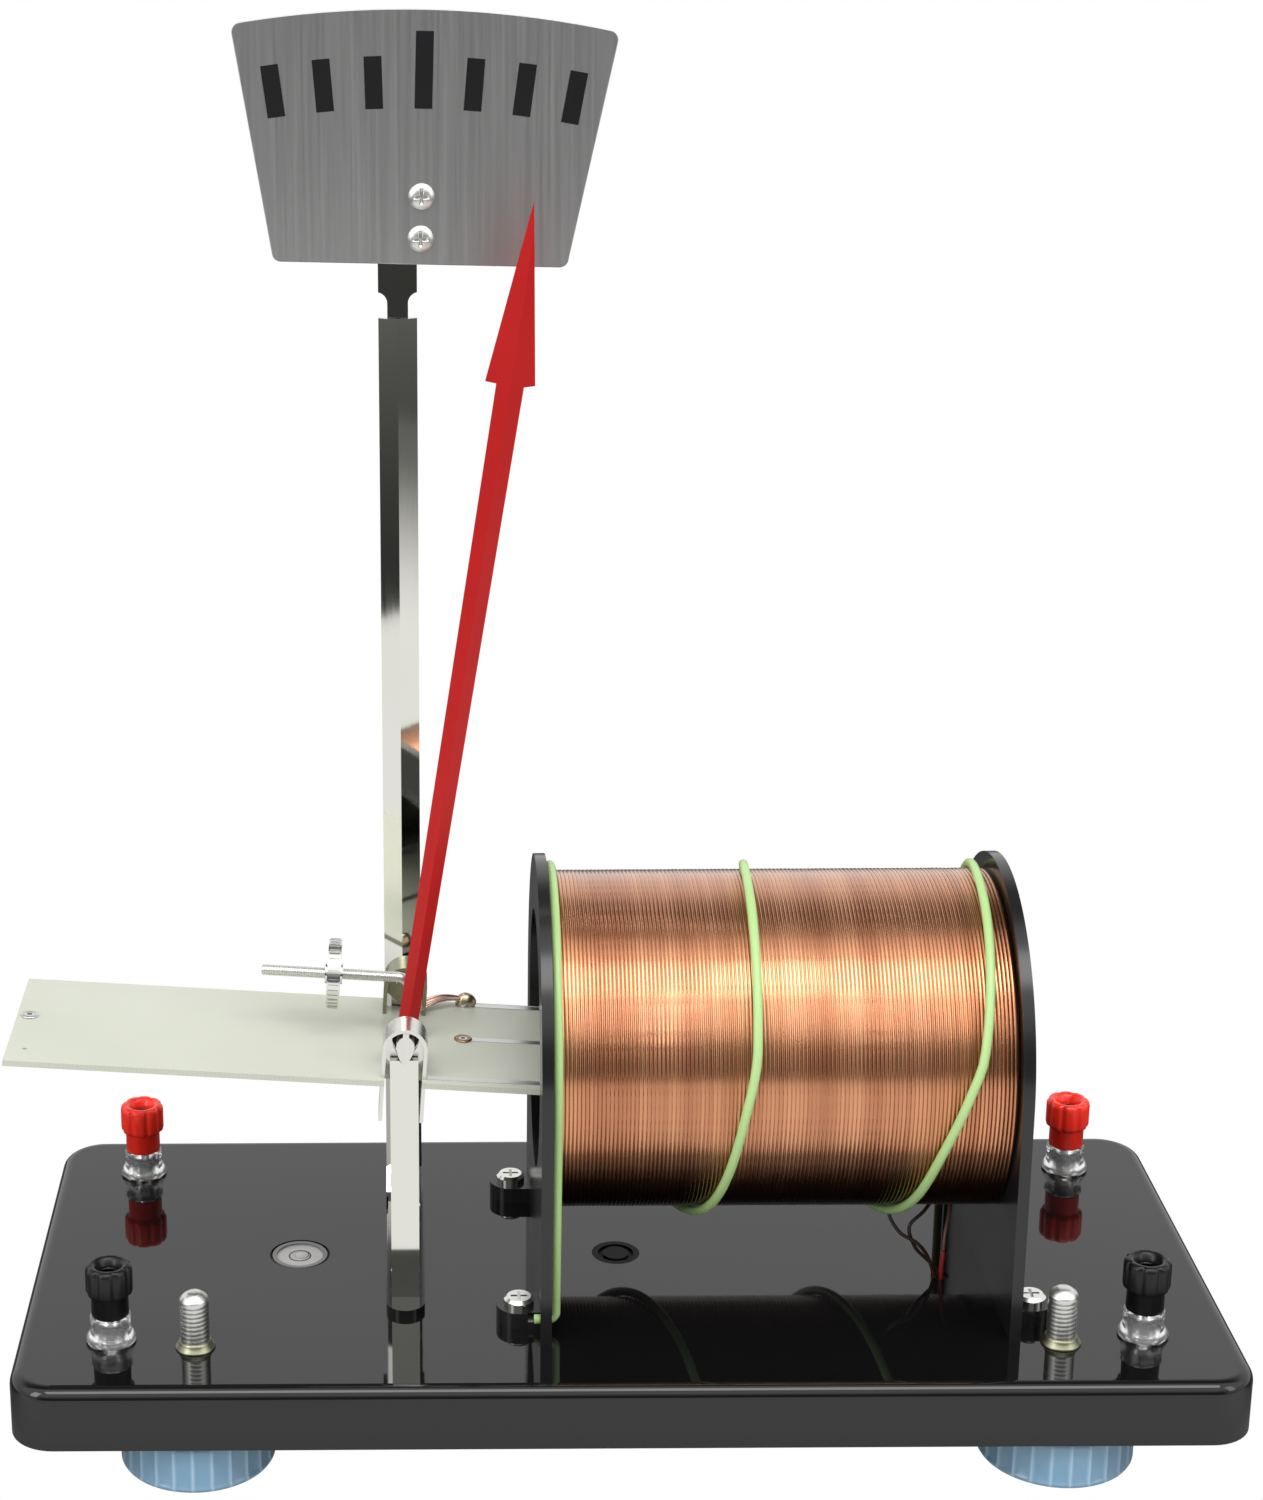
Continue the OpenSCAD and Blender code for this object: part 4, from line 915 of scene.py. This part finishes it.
def softbox(name, where, aim, size, power):
    """A rectangular lamp, in metres and watts."""
    lamp = bpy.data.lights.new(name, "AREA")
    lamp.shape = "RECTANGLE"
    lamp.size, lamp.size_y = size
    lamp.energy = power
    o = bpy.data.objects.new(name, lamp)
    o.location = where
    o.rotation_mode = "QUATERNION"
    o.rotation_quaternion = (Vector(aim) - Vector(where)).to_track_quat("-Z", "Y")
    bpy.context.scene.collection.objects.link(o)


def white_table():
    """A floor that the camera sees as white. What gloss and metal see of it glows bright in
    front and to the left, is darkened by a painted shadow under and behind the object, and is
    dark far to the right."""
    x0, x1, y0, y1 = -0.48, 0.60, -0.98, 3.0
    me = bpy.data.meshes.new("floor")
    me.from_pydata([(x0, y0, 0), (x1, y0, 0), (x1, y1, 0), (x0, y1, 0)], [], [(0, 1, 2, 3)])
    mat = bpy.data.materials.new("white_table")
    mat.use_nodes = True
    g = Graph(mat.node_tree)
    # Painted shadow: the glow falls away under and behind the object
    lit = g.axis(1).ramp(-0.11, -0.03, 1.0, 0.12) * g.axis(0).ramp(0.34, 0.56, 1.0, 0.15)
    seen = g.node("ShaderNodeLightPath", "Is Camera Ray")
    light = g.node("ShaderNodeEmission", 0, (), {0: WHITE, 1: seen * (1.0 - lit) + lit})
    g.node("ShaderNodeOutputMaterial", None, (), {0: light})
    me.materials.append(mat)
    o = bpy.data.objects.new("floor", me)
    bpy.context.scene.collection.objects.link(o)


surroundings()
softbox("softbox_left", (-1.0, -0.75, 0.75), (0, 0, 0.15), (0.4, 0.8), 4.2)
softbox("softbox_right", (1.1, -0.75, 0.75), (0, 0, 0.15), (0.4, 0.8), 2.2)
softbox("overhead", (0.05, -0.49, 1.05), (0, 0, 0.10), (1.1, 0.40), 5.8)
white_table()


def camera():
    """The camera that was fitted to the photograph."""
    data = bpy.data.cameras.new("camera")
    data.sensor_width = SENSOR
    data.lens = FOCAL / FRAME_H * SENSOR
    data.shift_x = (FRAME_W / 2 - CENTRE_X) / FRAME_H
    data.shift_y = -(FRAME_H / 2 - CENTRE_Y) / FRAME_H
    data.clip_start, data.clip_end = 0.02, 20
    o = bpy.data.objects.new("camera", data)
    o.matrix_world = (Matrix.Translation(EYE)
                      @ Matrix.Rotation(math.radians(90 - PITCH), 4, "X")
                      @ Matrix.Rotation(math.radians(ROLL), 4, "Z"))
    bpy.context.scene.collection.objects.link(o)
    bpy.context.scene.camera = o


camera()
bpy.context.scene.view_settings.view_transform = "Standard"
